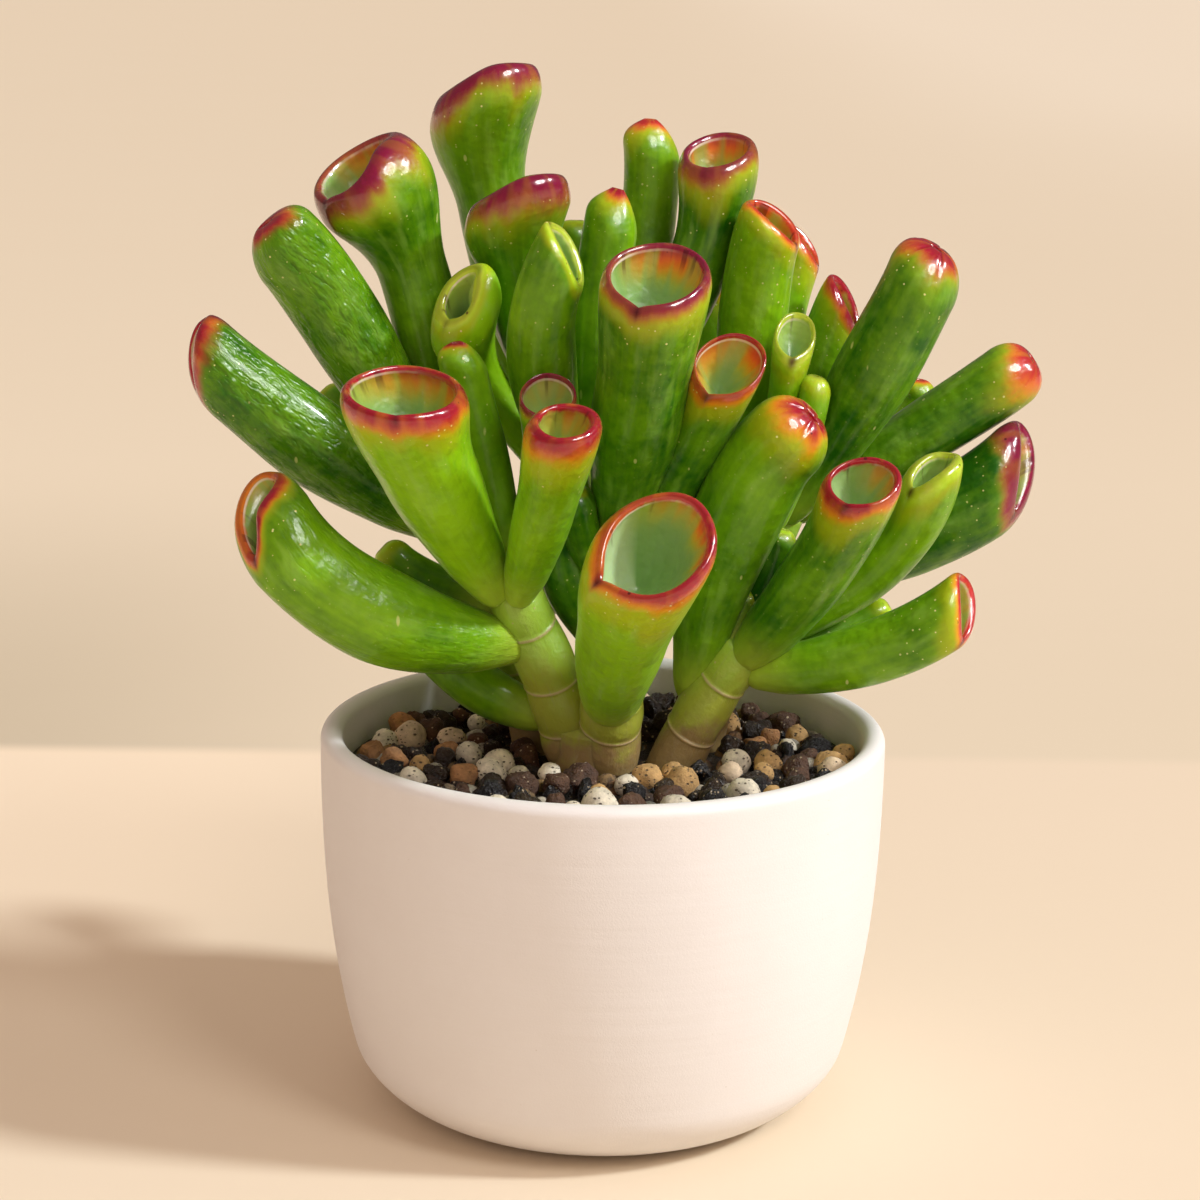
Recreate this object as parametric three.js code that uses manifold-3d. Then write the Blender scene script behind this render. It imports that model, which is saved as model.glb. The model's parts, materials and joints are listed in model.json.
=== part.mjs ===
// A trumpet jade, a succulent with tube-shaped leaves that end in small cups, growing in a round pot.
// Millimetres, +Z up, origin at the centre of the pot's flat foot, -Y towards the plant's front.
//
// Pieces: the pot, the soil mix with its loose grains, and six leafy stems that stand in plain holes
// in the soil. A leafy stem is one body: its leaves are fused to it where they grow.

import * as THREE from "three";
import { mergeVertices } from "three/addons/utils/BufferGeometryUtils.js";
import Module from "manifold-3d";

const wasm = await Module();
wasm.setup();

// ---------------------------------------------------------------- driving dimensions

const CLEARANCE = 0.3; // gap between touching pieces

const POT_HEIGHT = 61.5;
const POT_RADIUS = 45; // outside, at the lip
const POT_WALL = 3.5;
const POT_FLOOR = 5;
const FOOT_RADIUS = 26; // flat face that the pot stands on
const CORNER_HEIGHT = 10; // rounded edge between foot and wall
const TAPER = 8; // how much narrower the wall would be at the bottom than at the lip
const TAPER_POWER = 2.6;
const POT_SEGMENTS = 32;
const POT_STOPS = [0, 0.5, 1.7, 3.6, 6.4, 10, 18, 30, 44]; // heights of the outside profile's points
const HOLLOW_STOPS = [8, 13, 24, 38]; // heights of the inside profile's points
const FLOOR_FLAT = 0.8; // share of the hollow's floor that is flat
const LIP_STEPS = 6;
const DRAIN_RADIUS = 3;
const DRAIN_CIRCLE = 15;
const DRAIN_COUNT = 3;

const SOIL_TOP = 54.5;
const GRAIN_RADIUS = [2.6, 3.6];
const GRAIN_COUNT = 84;
const GRAIN_TRIES = 4000;
const GRAIN_SPACING = 0.94; // centre distance as a share of the two radii
const GRAIN_SQUASH = 0.9; // height over width
const GRAIN_LIFT = [0.15, 0.45]; // height of a grain's centre over the soil's top, in its radii
const GRAIN_SEED = 20417;

const STEM_FOOT = 44; // height at which the buried stems end
const STEM_SIDES = 9;
const STEM_STOPS = [0, 0.5, 0.95]; // shares of a stem's length that have a ring
const STEM_DOME = 0.4; // height of a stem's rounded end, in radii
const SCAR_RISE = 0.35; // how far a leaf scar's ring stands out of the stem
const SCAR_WIDTH = 0.9;

const LEAF_SIDES = [[7, 12], [4.5, 10], [0, 8]]; // mouth radius from which a leaf has so many sides
const LEAF_STOPS = [0.05, 0.28, 0.56, 0.82, 1]; // shares of a leaf's length that have a ring
const BELLY_GROWS = [-0.08, 0.58]; // shares between which a leaf widens from root to belly
const MOUTH_GROWS = [0.55, 1.02]; // shares between which it flares from belly to mouth
const MOUTH_TILTS = [0.45, 1]; // shares between which its cross section tilts into the mouth's plane
const LIP_SHOULDER = [0.16, 0.62]; // lip rings: how far in, and how high over the crown's height
const LIP_CROWN = [0.5, 1];
const LIP_EDGE = [1, 0.35];
const WIDE_GAPE = 0.6; // a mouth at least this open needs no shoulder ring on its lip
const CUP_WAIST = 0.62; // where the cup's middle ring lies, as a share of its width and depth
const NOTCH_DIP = 0.16; // how far the lip dips at its notch, as a share of the mouth radius
const NOTCH_POWER = 8; // higher makes the notch narrower

const COLOURS = {
  pot: [0xf1e8dc, 0.55],
  soil: [0x6b4a35, 0.95],
  leaf: [0x5f9a2c, 0.35],
};

// How a leaf ends. gape: the opening's half-axes as shares of the mouth's own, along the way that the
// mouth faces and across it. rise: height of the lip's crown over half the lip's thickness. depth: how
// deep the cup is, in mouth radii. flat: the leaf's thickness as a share of its width. oblique: degrees
// between the mouth's axis and the leaf's own, at most.
const TIPS = {
  trumpet: { gape: [0.82, 0.82], rise: 1.3, depth: 0.95, flat: 0.97, oblique: 50 },
  slit: { gape: [0.76, 0.42], rise: 1.3, depth: 0.75, flat: 0.92, oblique: 36 },
  bud: { gape: [0.36, 0.12], rise: 1.6, depth: 0.15, flat: 0.94, oblique: 22 },
};

// ---------------------------------------------------------------- the plant

// A stem is a bent tube: foot, bend and end points, its radius at both ends, and its ring scars as
// shares of its length. A leaf is: tip form, root, middle and mouth points of its centreline, its
// radius at root, belly and mouth, and the way that the mouth faces: compass angle (0 is +X, 90 is +Y)
// and angle above the horizon. The notch of the lip is on that side.
const LEAFY_STEMS = {
  leafy_stem_front_left: {
    stems: [
      { points: [[-2.5, -1, STEM_FOOT], [-2, -1, 52], [-1.5, -1.5, 62]], radii: [5.4, 6.8], scars: [] },
      { points: [[-4, -0.5, 57], [-7, -1, 68], [-15, -3.5, 85]], radii: [5.2, 4.2], scars: [0.22, 0.5, 0.8] },
      { points: [[0.5, -2.5, 56], [0.8, -3, 60], [1, -4, 65]], radii: [5.2, 4.6], scars: [0.72] },
    ],
    leaves: [
      ["trumpet", [-16, -4, 82], [-26, -14, 103], [-30, -21, 117], [3.8, 7.4, 9.9], [275, 72]],
      ["trumpet", [-14, -5, 82], [-9.5, -17, 99], [-6.3, -28, 114.3], [2.8, 4.9, 5.8], [262, 62]],
      ["slit", [-14, -4, 76], [-35, -12, 82], [-51, -15, 96.8], [4.4, 7.8, 7.5], [168, 35]],
      ["bud", [-7, 1, 62], [-19, 3, 66], [-29, 6, 74], [3, 4.2, 4], [150, 30]],
      ["bud", [-14, -1, 79], [-26, 3, 82], [-34, 5, 87], [3, 3.8, 3.4], [180, 40]],
      ["bud", [-14, -2, 84], [-19, -2, 105], [-22.5, -4, 120], [2.5, 3.8, 3.6], [0, 60]],
      ["trumpet", [-13, -3, 84], [-10, -6, 102], [-9, -13, 116.5], [2.2, 3.2, 4.5], [270, 52]],
      ["trumpet", [1, -4, 63], [2.5, -17, 79], [7, -35, 98], [4, 7.2, 9.4], [252, 38]],
    ],
  },
  leafy_stem_front_right: {
    stems: [
      { points: [[9, 2, STEM_FOOT], [11, 2, 58], [23, 1, 75]], radii: [4.4, 4.2], scars: [0.55, 0.82] },
    ],
    leaves: [
      ["trumpet", [21, 1, 71], [33, -8, 89], [38.5, -17, 104], [4.2, 5.5, 5.9], [255, 55]],
      ["slit", [22, 1, 70], [40.5, -5, 74.5], [55, -8, 83], [3.4, 5.1, 5], [345, 15]],
      ["slit", [22, 2, 74], [43, 1, 87], [50.5, -4, 103.5], [2.6, 4, 4.8], [225, 57]],
      ["bud", [20, 2, 71], [35, 5, 75], [44, 6, 79], [2.6, 3, 2.7], [0, 40]],
      ["bud", [20, 2, 71], [21.5, 3, 77], [22.5, 3, 81], [3, 3.6, 3.2], [0, 60]],
      ["bud", [18, 2, 69], [25, 3.5, 81], [28, 3, 91], [2.6, 3.2, 2.9], [0, 60]],
      ["bud", [14.5, 2.5, 66], [20, -2, 94], [28, -8, 110], [3.6, 7.1, 6.8], [330, 40]],
    ],
  },
  leafy_stem_centre: {
    stems: [
      { points: [[2, 12, STEM_FOOT], [3, 10, 75], [-4, 10, 110]], radii: [4.4, 3], scars: [0.4, 0.6, 0.8] },
    ],
    leaves: [
      ["trumpet", [1, 9, 86], [4.5, -6, 112], [7, -14, 134], [3.4, 7.3, 8.8], [262, 54]],
      ["trumpet", [2, 9, 84], [12.5, -2, 106], [18.3, -11, 121], [3, 5, 5.6], [262, 38]],
      ["bud", [-2, 10, 102], [-1.5, 11, 123], [0.5, 12, 140.5], [3, 4.6, 4.4], [340, 50]],
      ["slit", [-3, 9, 96], [-10, -1, 118], [-7, -6, 136.5], [3, 5.5, 5], [340, 15]],
      ["trumpet", [-2, 9, 94], [-17.5, 8.5, 112.5], [-22.2, 2, 128], [2.5, 3.1, 5.9], [240, 36]],
      ["trumpet", [-3, 10, 98], [-12, 11, 124.5], [-14.2, 7, 143], [3, 5.8, 8.4], [155, 70]],
      ["bud", [-2, 11, 105], [5, 22, 131], [6.6, 24, 151], [2.8, 4.6, 4.5], [345, 50]],
      ["trumpet", [-1, 11, 103], [13, 16, 130], [17, 16, 149.5], [3, 5.2, 6.7], [250, 66]],
      ["bud", [-3, 11, 106], [-4, 21, 124], [-5, 25, 137], [2.2, 3.2, 2.9], [0, 60]],
      ["trumpet", [-4, 13, 102], [-17, 24, 133], [-20, 22, 159], [3.2, 5.7, 8.7], [160, 68]],
      ["bud", [0, 9, 80], [-3, 2, 90], [-4.5, -2, 98], [2.6, 3.4, 3.1], [260, 60]],
      ["bud", [2, 9, 82], [13, 6, 96], [16, 5, 107], [2.6, 3.8, 3.4], [300, 60]],
      ["bud", [2, 11, 70], [-5, 5, 82], [-7, 4, 92], [3, 4.4, 4], [250, 60]],
      ["bud", [3, 9, 72], [4, 1, 84], [4, -3, 94], [3, 4.4, 4], [290, 60]],
    ],
  },
  leafy_stem_back_left: {
    stems: [
      { points: [[-9, 11, STEM_FOOT], [-12, 11, 72], [-27, 11, 96]], radii: [4.3, 3], scars: [0.45, 0.7] },
    ],
    leaves: [
      ["trumpet", [-25, 12, 93], [-29.5, 14, 126], [-37.8, 10, 146.6], [3.4, 5.6, 9.5], [215, 54]],
      ["bud", [-25, 10, 93], [-39.5, 7, 121], [-50, 2, 137], [3.6, 6.7, 6.4], [180, 25]],
      ["slit", [-24, 10, 90], [-46, 3, 106], [-61.5, 0, 119], [3.8, 7.1, 6.1], [195, 12]],
      ["bud", [-24, 12, 91], [-37, 20, 102], [-45, 24, 109], [2.6, 3.8, 3.4], [180, 40]],
    ],
  },
  leafy_stem_back_right: {
    stems: [
      { points: [[14, 13, STEM_FOOT], [17, 13, 68], [30, 13, 95]], radii: [4.3, 3], scars: [0.45, 0.7] },
    ],
    leaves: [
      ["slit", [22, 13, 88], [22.7, 12, 122], [25.2, 8, 140], [3, 5.6, 5.6], [330, 50]],
      ["slit", [25, 14, 91], [27.5, 22, 120], [31, 24, 135], [2.5, 3.9, 4.2], [345, 40]],
      ["bud", [28, 12, 92], [41.5, 6, 117], [49, 3, 133.3], [3.8, 6.5, 6.3], [330, 50]],
      ["bud", [28, 14, 92], [52, 14, 107.5], [64.5, 13, 116.6], [3.2, 5.4, 5.3], [0, 40]],
      ["slit", [22, 14, 80], [48, 11, 90.5], [64, 9, 101], [3.4, 7, 7], [340, 5]],
      ["bud", [28, 14, 92], [46, 23, 103], [51.5, 25, 111.5], [2.2, 3, 2.9], [0, 40]],
      ["slit", [27, 14, 92], [33.5, 17, 115], [37.5, 17, 126.5], [2.6, 4.3, 4.5], [340, 20]],
      ["trumpet", [25, 10, 90], [27.5, 4, 112], [29, 2, 123.5], [2, 2.7, 3.4], [270, 45]],
      ["bud", [25, 10, 88], [30, 3, 104], [32.5, 1, 116], [2, 2.6, 2.5], [300, 50]],
    ],
  },
  leafy_stem_back: {
    stems: [
      { points: [[1, 22, STEM_FOOT], [1, 25, 70], [0, 31, 90]], radii: [4.2, 3], scars: [0.5, 0.75] },
    ],
    leaves: [
      ["trumpet", [0, 29, 84], [-7, 42, 97], [-11, 50, 110], [3.4, 6.4, 8.6], [100, 50]],
      ["trumpet", [1, 27, 78], [15, 40, 86], [23, 48, 98], [3.4, 5.8, 7.6], [60, 50]],
      ["bud", [0, 26, 74], [2, 44, 78], [4, 56, 87], [3.2, 5.6, 5.2], [90, 40]],
      ["slit", [0, 26, 74], [-18, 37, 80], [-28, 44, 91], [3.2, 5.2, 5.2], [130, 20]],
      ["trumpet", [0, 29, 86], [13, 34, 108], [18, 38, 126], [3, 5.6, 7.2], [50, 60]],
      ["bud", [0, 30, 87], [-14, 33, 112], [-19, 35, 129], [3, 5.6, 5.4], [140, 50]],
      ["trumpet", [0, 31, 88], [2, 38, 114], [3, 42, 133], [3.2, 5.6, 7.4], [100, 55]],
    ],
  },
};

// ---------------------------------------------------------------- shared geometry

const smooth = THREE.MathUtils.smoothstep;

// A three.js geometry as a solid: only its positions, shared vertices merged, collapsed faces dropped.
function solid(geometry) {
  const bare = new THREE.BufferGeometry();
  bare.setAttribute("position", geometry.getAttribute("position"));
  bare.setIndex(geometry.index);
  const merged = mergeVertices(bare, 1e-3);
  const index = merged.index.array;
  const faces = [];
  for (let i = 0; i < index.length; i += 3) {
    const [a, b, c] = [index[i], index[i + 1], index[i + 2]];
    if (a !== b && b !== c && c !== a) faces.push(a, b, c);
  }
  const vertProperties = merged.getAttribute("position").array;
  const triVerts = new Uint32Array(faces);
  return new wasm.Manifold(new wasm.Mesh({ numProp: 3, vertProperties, triVerts }));
}

// The largest body of a solid, without the small hollows that fusing sealed inside it.
function outerBody(whole) {
  return whole.decompose().reduce((largest, body) => (body.volume() > largest.volume() ? body : largest));
}

// A solid as a named mesh.
function meshOf(name, body, [colour, roughness]) {
  const { vertProperties, triVerts } = body.getMesh();
  const geometry = new THREE.BufferGeometry();
  geometry.setAttribute("position", new THREE.BufferAttribute(new Float32Array(vertProperties), 3));
  geometry.setIndex(new THREE.BufferAttribute(new Uint32Array(triVerts), 1));
  geometry.computeVertexNormals();
  const material = new THREE.MeshStandardMaterial({ color: colour, roughness, metalness: 0 });
  const mesh = new THREE.Mesh(geometry, material);
  mesh.name = name;
  return mesh;
}

// The closed surface over a stack of rings, each with the same number of points, that starts and ends
// in a single point.
function closedOver(first, rings, last) {
  const sides = rings[0].length;
  const points = [first, ...rings.flat(), last];
  const end = points.length - 1;
  const at = (ring, side) => 1 + ring * sides + (side % sides);
  const index = [];
  for (let s = 0; s < sides; s++) {
    index.push(0, at(0, s + 1), at(0, s));
    index.push(end, at(rings.length - 1, s), at(rings.length - 1, s + 1));
    for (let r = 0; r + 1 < rings.length; r++) {
      index.push(at(r, s), at(r, s + 1), at(r + 1, s + 1));
      index.push(at(r, s), at(r + 1, s + 1), at(r + 1, s));
    }
  }
  const geometry = new THREE.BufferGeometry().setFromPoints(points);
  geometry.setIndex(index);
  return geometry;
}

// The quadratic curve through three points, the middle one at its halfway mark.
function curveThrough(start, middle, end) {
  const [a, m, b] = [start, middle, end].map((p) => new THREE.Vector3(...p));
  const control = m.clone().multiplyScalar(2).addScaledVector(a, -0.5).addScaledVector(b, -0.5);
  return new THREE.QuadraticBezierCurve3(a, control, b);
}

// Point, tangent and two cross directions of a curve; `across` lies as near as it can to `facing`.
function frameAt(curve, share, facing) {
  const centre = curve.getPoint(share);
  const tangent = curve.getTangent(share);
  const across = facing.clone().addScaledVector(tangent, -facing.dot(tangent)).normalize();
  const beside = tangent.clone().cross(across);
  return { centre, tangent, across, beside };
}

// One ring of points round a frame: an ellipse with half-axes `long` along `across` and `short` beside
// it. `lift` says how far along the tangent the point at an angle from `across` stands.
function ringAt({ centre, tangent, across, beside }, sides, long, short, lift) {
  const points = [];
  for (let s = 0; s < sides; s++) {
    const angle = (2 * Math.PI * s) / sides;
    points.push(
      centre
        .clone()
        .addScaledVector(across, long * Math.cos(angle))
        .addScaledVector(beside, short * Math.sin(angle))
        .addScaledVector(tangent, lift(angle)),
    );
  }
  return points;
}

// ---------------------------------------------------------------- stems

const STEM_FACING = new THREE.Vector3(0.2, -1, 0.1).normalize();

// A bent round stem, with a ring at each leaf scar. `grow` widens it on every side.
function stemSolid({ points, radii, scars }, grow = 0) {
  const curve = new THREE.QuadraticBezierCurve3(...points.map((p) => new THREE.Vector3(...p)));
  const length = curve.getLength();
  const half = SCAR_WIDTH / length;
  const stops = STEM_STOPS.map((share) => [share, 0]);
  for (const scar of scars) {
    stops.push([scar - half, 0], [scar, SCAR_RISE], [scar + half, 0]);
  }
  stops.sort((a, b) => a[0] - b[0]);
  const rings = stops.map(([share, rise]) => {
    const radius = THREE.MathUtils.lerp(radii[0], radii[1], share) + rise + grow;
    return ringAt(frameAt(curve, share, STEM_FACING), STEM_SIDES, radius, radius, () => 0);
  });
  const [start, end] = [frameAt(curve, 0, STEM_FACING), frameAt(curve, 1, STEM_FACING)];
  const first = start.centre.addScaledVector(start.tangent, -CLEARANCE - grow);
  const last = end.centre.addScaledVector(end.tangent, radii[1] * STEM_DOME);
  return solid(closedOver(first, rings, last));
}

// ---------------------------------------------------------------- leaves

// The leaf's radius at a share of its length: a narrow root, a belly and a flare to the mouth.
function leafRadius([root, belly, mouth], share) {
  const body = root + (belly - root) * smooth(share, ...BELLY_GROWS);
  return body + (mouth - belly) * smooth(share, ...MOUTH_GROWS);
}

// A unit vector from a compass angle and an angle above the horizon, in degrees.
function direction([compass, above]) {
  const [turn, rise] = [compass, above].map(THREE.MathUtils.degToRad);
  return new THREE.Vector3(Math.cos(rise) * Math.cos(turn), Math.cos(rise) * Math.sin(turn), Math.sin(rise));
}

// The mouth's plane as its slopes along the end frame's two cross directions.
function mouthSlopes({ tangent, across, beside }, facing, mostOblique) {
  const axis = direction(facing);
  const sideways = axis.clone().addScaledVector(tangent, -axis.dot(tangent)).normalize();
  const oblique = Math.min(axis.angleTo(tangent), THREE.MathUtils.degToRad(mostOblique));
  const slope = -Math.tan(oblique);
  return [slope * sideways.dot(across), slope * sideways.dot(beside)];
}

// A leaf as one closed surface: up its outside, over the rounded lip and down into the cup.
function leafSolid([tip, root, middle, mouth, radii, facing]) {
  const { gape, rise, depth, flat, oblique } = TIPS[tip];
  const size = radii[2];
  const sides = LEAF_SIDES.find(([least]) => size >= least)[1];
  const compass = direction([facing[0], 0]);
  const curve = curveThrough(root, middle, mouth);
  const end = frameAt(curve, 1, compass);
  const [downAcross, downBeside] = mouthSlopes(end, facing, oblique);
  const slant = (long, short, angle) =>
    downAcross * long * Math.cos(angle) + downBeside * short * Math.sin(angle);
  const rings = LEAF_STOPS.map((share) => {
    const radius = leafRadius(radii, share);
    const tilt = smooth(share, ...MOUTH_TILTS);
    return ringAt(frameAt(curve, share, compass), sides, radius, radius * flat, (angle) =>
      tilt * slant(radius, radius * flat, angle),
    );
  });
  const outer = [size, size * flat];
  const inner = [outer[0] * gape[0], outer[1] * gape[1]];
  // One ring of the lip: `inward` is 0 at the outside and 1 at the opening's edge, and `height` is a
  // share of the crown's height.
  const lipRing = ([inward, height]) => {
    const long = THREE.MathUtils.lerp(outer[0], inner[0], inward);
    const short = THREE.MathUtils.lerp(outer[1], inner[1], inward);
    return ringAt(end, sides, long, short, (angle) => {
      const across = (outer[0] - inner[0]) * Math.cos(angle);
      const beside = (outer[1] - inner[1]) * Math.sin(angle);
      const notch = NOTCH_DIP * size * Math.max(0, Math.cos(angle)) ** NOTCH_POWER;
      return height * rise * 0.5 * Math.hypot(across, beside) - notch + slant(long, short, angle);
    });
  };
  if (gape[1] < WIDE_GAPE) rings.push(lipRing(LIP_SHOULDER));
  rings.push(lipRing(LIP_CROWN));
  rings.push(lipRing(LIP_EDGE));
  const [long, short] = inner.map((axis) => axis * CUP_WAIST);
  const sunk = (angle) => slant(long, short, angle) - CUP_WAIST * depth * size;
  rings.push(ringAt(end, sides, long, short, sunk));
  const last = end.centre.addScaledVector(end.tangent, -depth * size);
  return solid(closedOver(curve.getPoint(0), rings, last));
}

// The leaves fused to the stems that they grow from.
function leafyStem({ stems, leaves }) {
  const pieces = [...stems.map((stem) => stemSolid(stem)), ...leaves.map(leafSolid)];
  return outerBody(pieces.reduce((whole, piece) => whole.add(piece)));
}

// ---------------------------------------------------------------- pot

// Outside radius of the pot at a height: a wall that widens to the lip, rounded in at the foot.
function potRadius(height) {
  const wall = POT_RADIUS - TAPER * (1 - height / POT_HEIGHT) ** TAPER_POWER;
  const fall = Math.max(0, 1 - height / CORNER_HEIGHT);
  return FOOT_RADIUS + (wall - FOOT_RADIUS) * Math.sqrt(1 - fall * fall);
}

// The inside profile from the floor's centre to the lip, drawn in by `gap`, up to `top`.
function insideProfile(gap, top) {
  const points = [new THREE.Vector2(0, POT_FLOOR + gap)];
  const floorEdge = potRadius(POT_FLOOR) - POT_WALL - gap;
  points.push(new THREE.Vector2(floorEdge * FLOOR_FLAT, POT_FLOOR + gap));
  for (const height of [...HOLLOW_STOPS, top]) {
    const lifted = height + (height < CORNER_HEIGHT ? gap : 0);
    points.push(new THREE.Vector2(potRadius(height) - POT_WALL - gap, lifted));
  }
  return points;
}

// A profile in (radius, height) turned once round the pot's axis.
function lathe(profile) {
  return solid(new THREE.LatheGeometry(profile, POT_SEGMENTS).rotateX(Math.PI / 2));
}

// The pot: outside profile, half-round lip, hollow inside and drain holes.
function potSolid() {
  const lipRadius = POT_WALL / 2;
  const lipHeight = POT_HEIGHT - lipRadius;
  const profile = [new THREE.Vector2(0, 0)];
  for (const height of [...POT_STOPS, lipHeight]) {
    profile.push(new THREE.Vector2(potRadius(height), height));
  }
  for (let step = 1; step < LIP_STEPS; step++) {
    const angle = (Math.PI * step) / LIP_STEPS;
    const radius = potRadius(lipHeight) - lipRadius + lipRadius * Math.cos(angle);
    profile.push(new THREE.Vector2(radius, lipHeight + lipRadius * Math.sin(angle)));
  }
  profile.push(...insideProfile(0, lipHeight).reverse());
  let pot = lathe(profile);
  for (let hole = 0; hole < DRAIN_COUNT; hole++) {
    const angle = (2 * Math.PI * hole) / DRAIN_COUNT + Math.PI / 2;
    const drain = new THREE.CylinderGeometry(DRAIN_RADIUS, DRAIN_RADIUS, 3 * POT_FLOOR, 16);
    drain.rotateX(Math.PI / 2);
    drain.translate(DRAIN_CIRCLE * Math.cos(angle), DRAIN_CIRCLE * Math.sin(angle), 0);
    pot = pot.subtract(solid(drain));
  }
  return pot;
}

// ---------------------------------------------------------------- soil

// Seeded draw of numbers between 0 and 1, so that the grains lie the same way each time.
function seededDraw(seed) {
  let state = seed;
  return () => {
    state = (state * 16807) % 2147483647;
    return state / 2147483647;
  };
}

// Where the stems cross the soil's top, and how wide they are there.
function stemFeet() {
  const feet = [];
  for (const { stems } of Object.values(LEAFY_STEMS)) {
    for (const { points, radii } of stems) {
      if (points[0][2] !== STEM_FOOT) continue;
      const curve = new THREE.QuadraticBezierCurve3(...points.map((p) => new THREE.Vector3(...p)));
      let share = 0;
      while (curve.getPoint(share).z < SOIL_TOP) share += 0.01;
      const { x, y } = curve.getPoint(share);
      feet.push({ x, y, radius: THREE.MathUtils.lerp(radii[0], radii[1], share) });
    }
  }
  return feet;
}

// Grains dropped one by one on the soil's top: each stays where it lies clear of the stems and the pot
// and no closer to another grain than GRAIN_SPACING allows.
function scatterGrains() {
  const draw = seededDraw(GRAIN_SEED);
  const feet = stemFeet();
  const bed = potRadius(SOIL_TOP) - POT_WALL - CLEARANCE;
  const grains = [];
  for (let tries = 0; tries < GRAIN_TRIES && grains.length < GRAIN_COUNT; tries++) {
    const radius = THREE.MathUtils.lerp(GRAIN_RADIUS[0], GRAIN_RADIUS[1], draw());
    const angle = 2 * Math.PI * draw();
    const away = Math.sqrt(draw()) * (bed - radius);
    const grain = { x: away * Math.cos(angle), y: away * Math.sin(angle), radius, turn: draw() };
    const apart = (other) => Math.hypot(grain.x - other.x, grain.y - other.y);
    const free = grains.every((other) => apart(other) > GRAIN_SPACING * (radius + other.radius));
    if (free && feet.every((foot) => apart(foot) > foot.radius + 2 * CLEARANCE + radius)) grains.push(grain);
  }
  return grains;
}

// The bed of soil with its grains, and a plain hole for each stem that stands in it.
function soilSolid() {
  const profile = insideProfile(CLEARANCE, SOIL_TOP);
  profile.push(new THREE.Vector2(0, SOIL_TOP));
  let soil = lathe(profile);
  for (const { x, y, radius, turn } of scatterGrains()) {
    const grain = new THREE.IcosahedronGeometry(radius, 0);
    grain.rotateX(2 * Math.PI * turn).rotateZ(20 * turn);
    grain.scale(1, 1, GRAIN_SQUASH);
    grain.translate(x, y, SOIL_TOP + radius * THREE.MathUtils.lerp(...GRAIN_LIFT, turn));
    soil = soil.add(solid(grain));
  }
  for (const { stems } of Object.values(LEAFY_STEMS)) {
    for (const stem of stems) {
      if (stem.points[0][2] === STEM_FOOT) soil = soil.subtract(stemSolid({ ...stem, scars: [] }, CLEARANCE));
    }
  }
  return outerBody(soil);
}

// ---------------------------------------------------------------- the whole object

const plant = new THREE.Group();
plant.add(meshOf("pot", potSolid(), COLOURS.pot));
plant.add(meshOf("soil_mix", soilSolid(), COLOURS.soil));
for (const [name, parts] of Object.entries(LEAFY_STEMS)) {
  plant.add(meshOf(name, leafyStem(parts), COLOURS.leaf));
}

export default plant;
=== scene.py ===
"""Looks of a trumpet jade in its pot: tube leaves with cupped, blushing ends over coarse mineral soil.

Sizes are millimetres until a mesh is made, then metres. +Z is up and -Y is the plant's front.
"""

import json
import logging
import math
from dataclasses import dataclass, field, replace
from enum import Enum
from functools import partial

import bpy
import numpy as np
from mathutils import Matrix, Vector

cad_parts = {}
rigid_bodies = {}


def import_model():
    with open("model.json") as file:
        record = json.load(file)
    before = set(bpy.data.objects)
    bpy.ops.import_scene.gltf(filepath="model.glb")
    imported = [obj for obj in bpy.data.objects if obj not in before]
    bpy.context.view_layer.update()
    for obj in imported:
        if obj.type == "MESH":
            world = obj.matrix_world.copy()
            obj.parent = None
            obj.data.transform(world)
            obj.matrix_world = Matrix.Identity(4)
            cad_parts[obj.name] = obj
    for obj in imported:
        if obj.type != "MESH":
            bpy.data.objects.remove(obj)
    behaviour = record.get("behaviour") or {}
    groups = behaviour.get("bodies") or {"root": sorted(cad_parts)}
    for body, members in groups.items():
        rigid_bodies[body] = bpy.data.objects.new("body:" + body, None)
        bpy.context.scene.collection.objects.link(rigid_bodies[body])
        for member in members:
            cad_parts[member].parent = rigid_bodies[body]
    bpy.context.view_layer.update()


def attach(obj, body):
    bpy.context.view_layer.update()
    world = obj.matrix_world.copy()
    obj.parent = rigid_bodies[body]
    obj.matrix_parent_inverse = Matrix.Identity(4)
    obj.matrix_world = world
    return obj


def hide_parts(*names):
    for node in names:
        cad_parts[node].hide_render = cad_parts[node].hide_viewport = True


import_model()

logging.basicConfig(level=logging.INFO, format="%(message)s")
log = logging.getLogger("trumpet_jade")

MM = 0.001
NUMBER = "NodeSocketFloat"

Pair = tuple[float, float]
Triple = tuple[float, float, float]
Point = Triple
Colour = Triple
Array = np.ndarray
Thing = bpy.types.Object
Node = bpy.types.Node
Tree = bpy.types.NodeTree
Material = bpy.types.Material
Socket = bpy.types.NodeSocket
Sockets = bpy.types.NodeOutputs


# ---- named options


class Tip(Enum):
    """How a leaf ends."""

    TRUMPET = "open cup"
    SLIT = "half closed cup"
    BUD = "closed, with a small crease"


class Blush(Enum):
    """Colour of a leaf's rim, and of the glow under it, as linear red, green, blue."""

    PURPLE = ((0.27, 0.006, 0.050), (0.46, 0.17, 0.010))
    CRIMSON = ((0.43, 0.008, 0.030), (0.80, 0.26, 0.010))
    SCARLET = ((0.62, 0.030, 0.03), (0.80, 0.34, 0.02))
    ORANGE = ((0.66, 0.060, 0.02), (0.80, 0.34, 0.02))
    YELLOW = ((0.56, 0.70, 0.05), (0.42, 0.68, 0.015))


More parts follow.
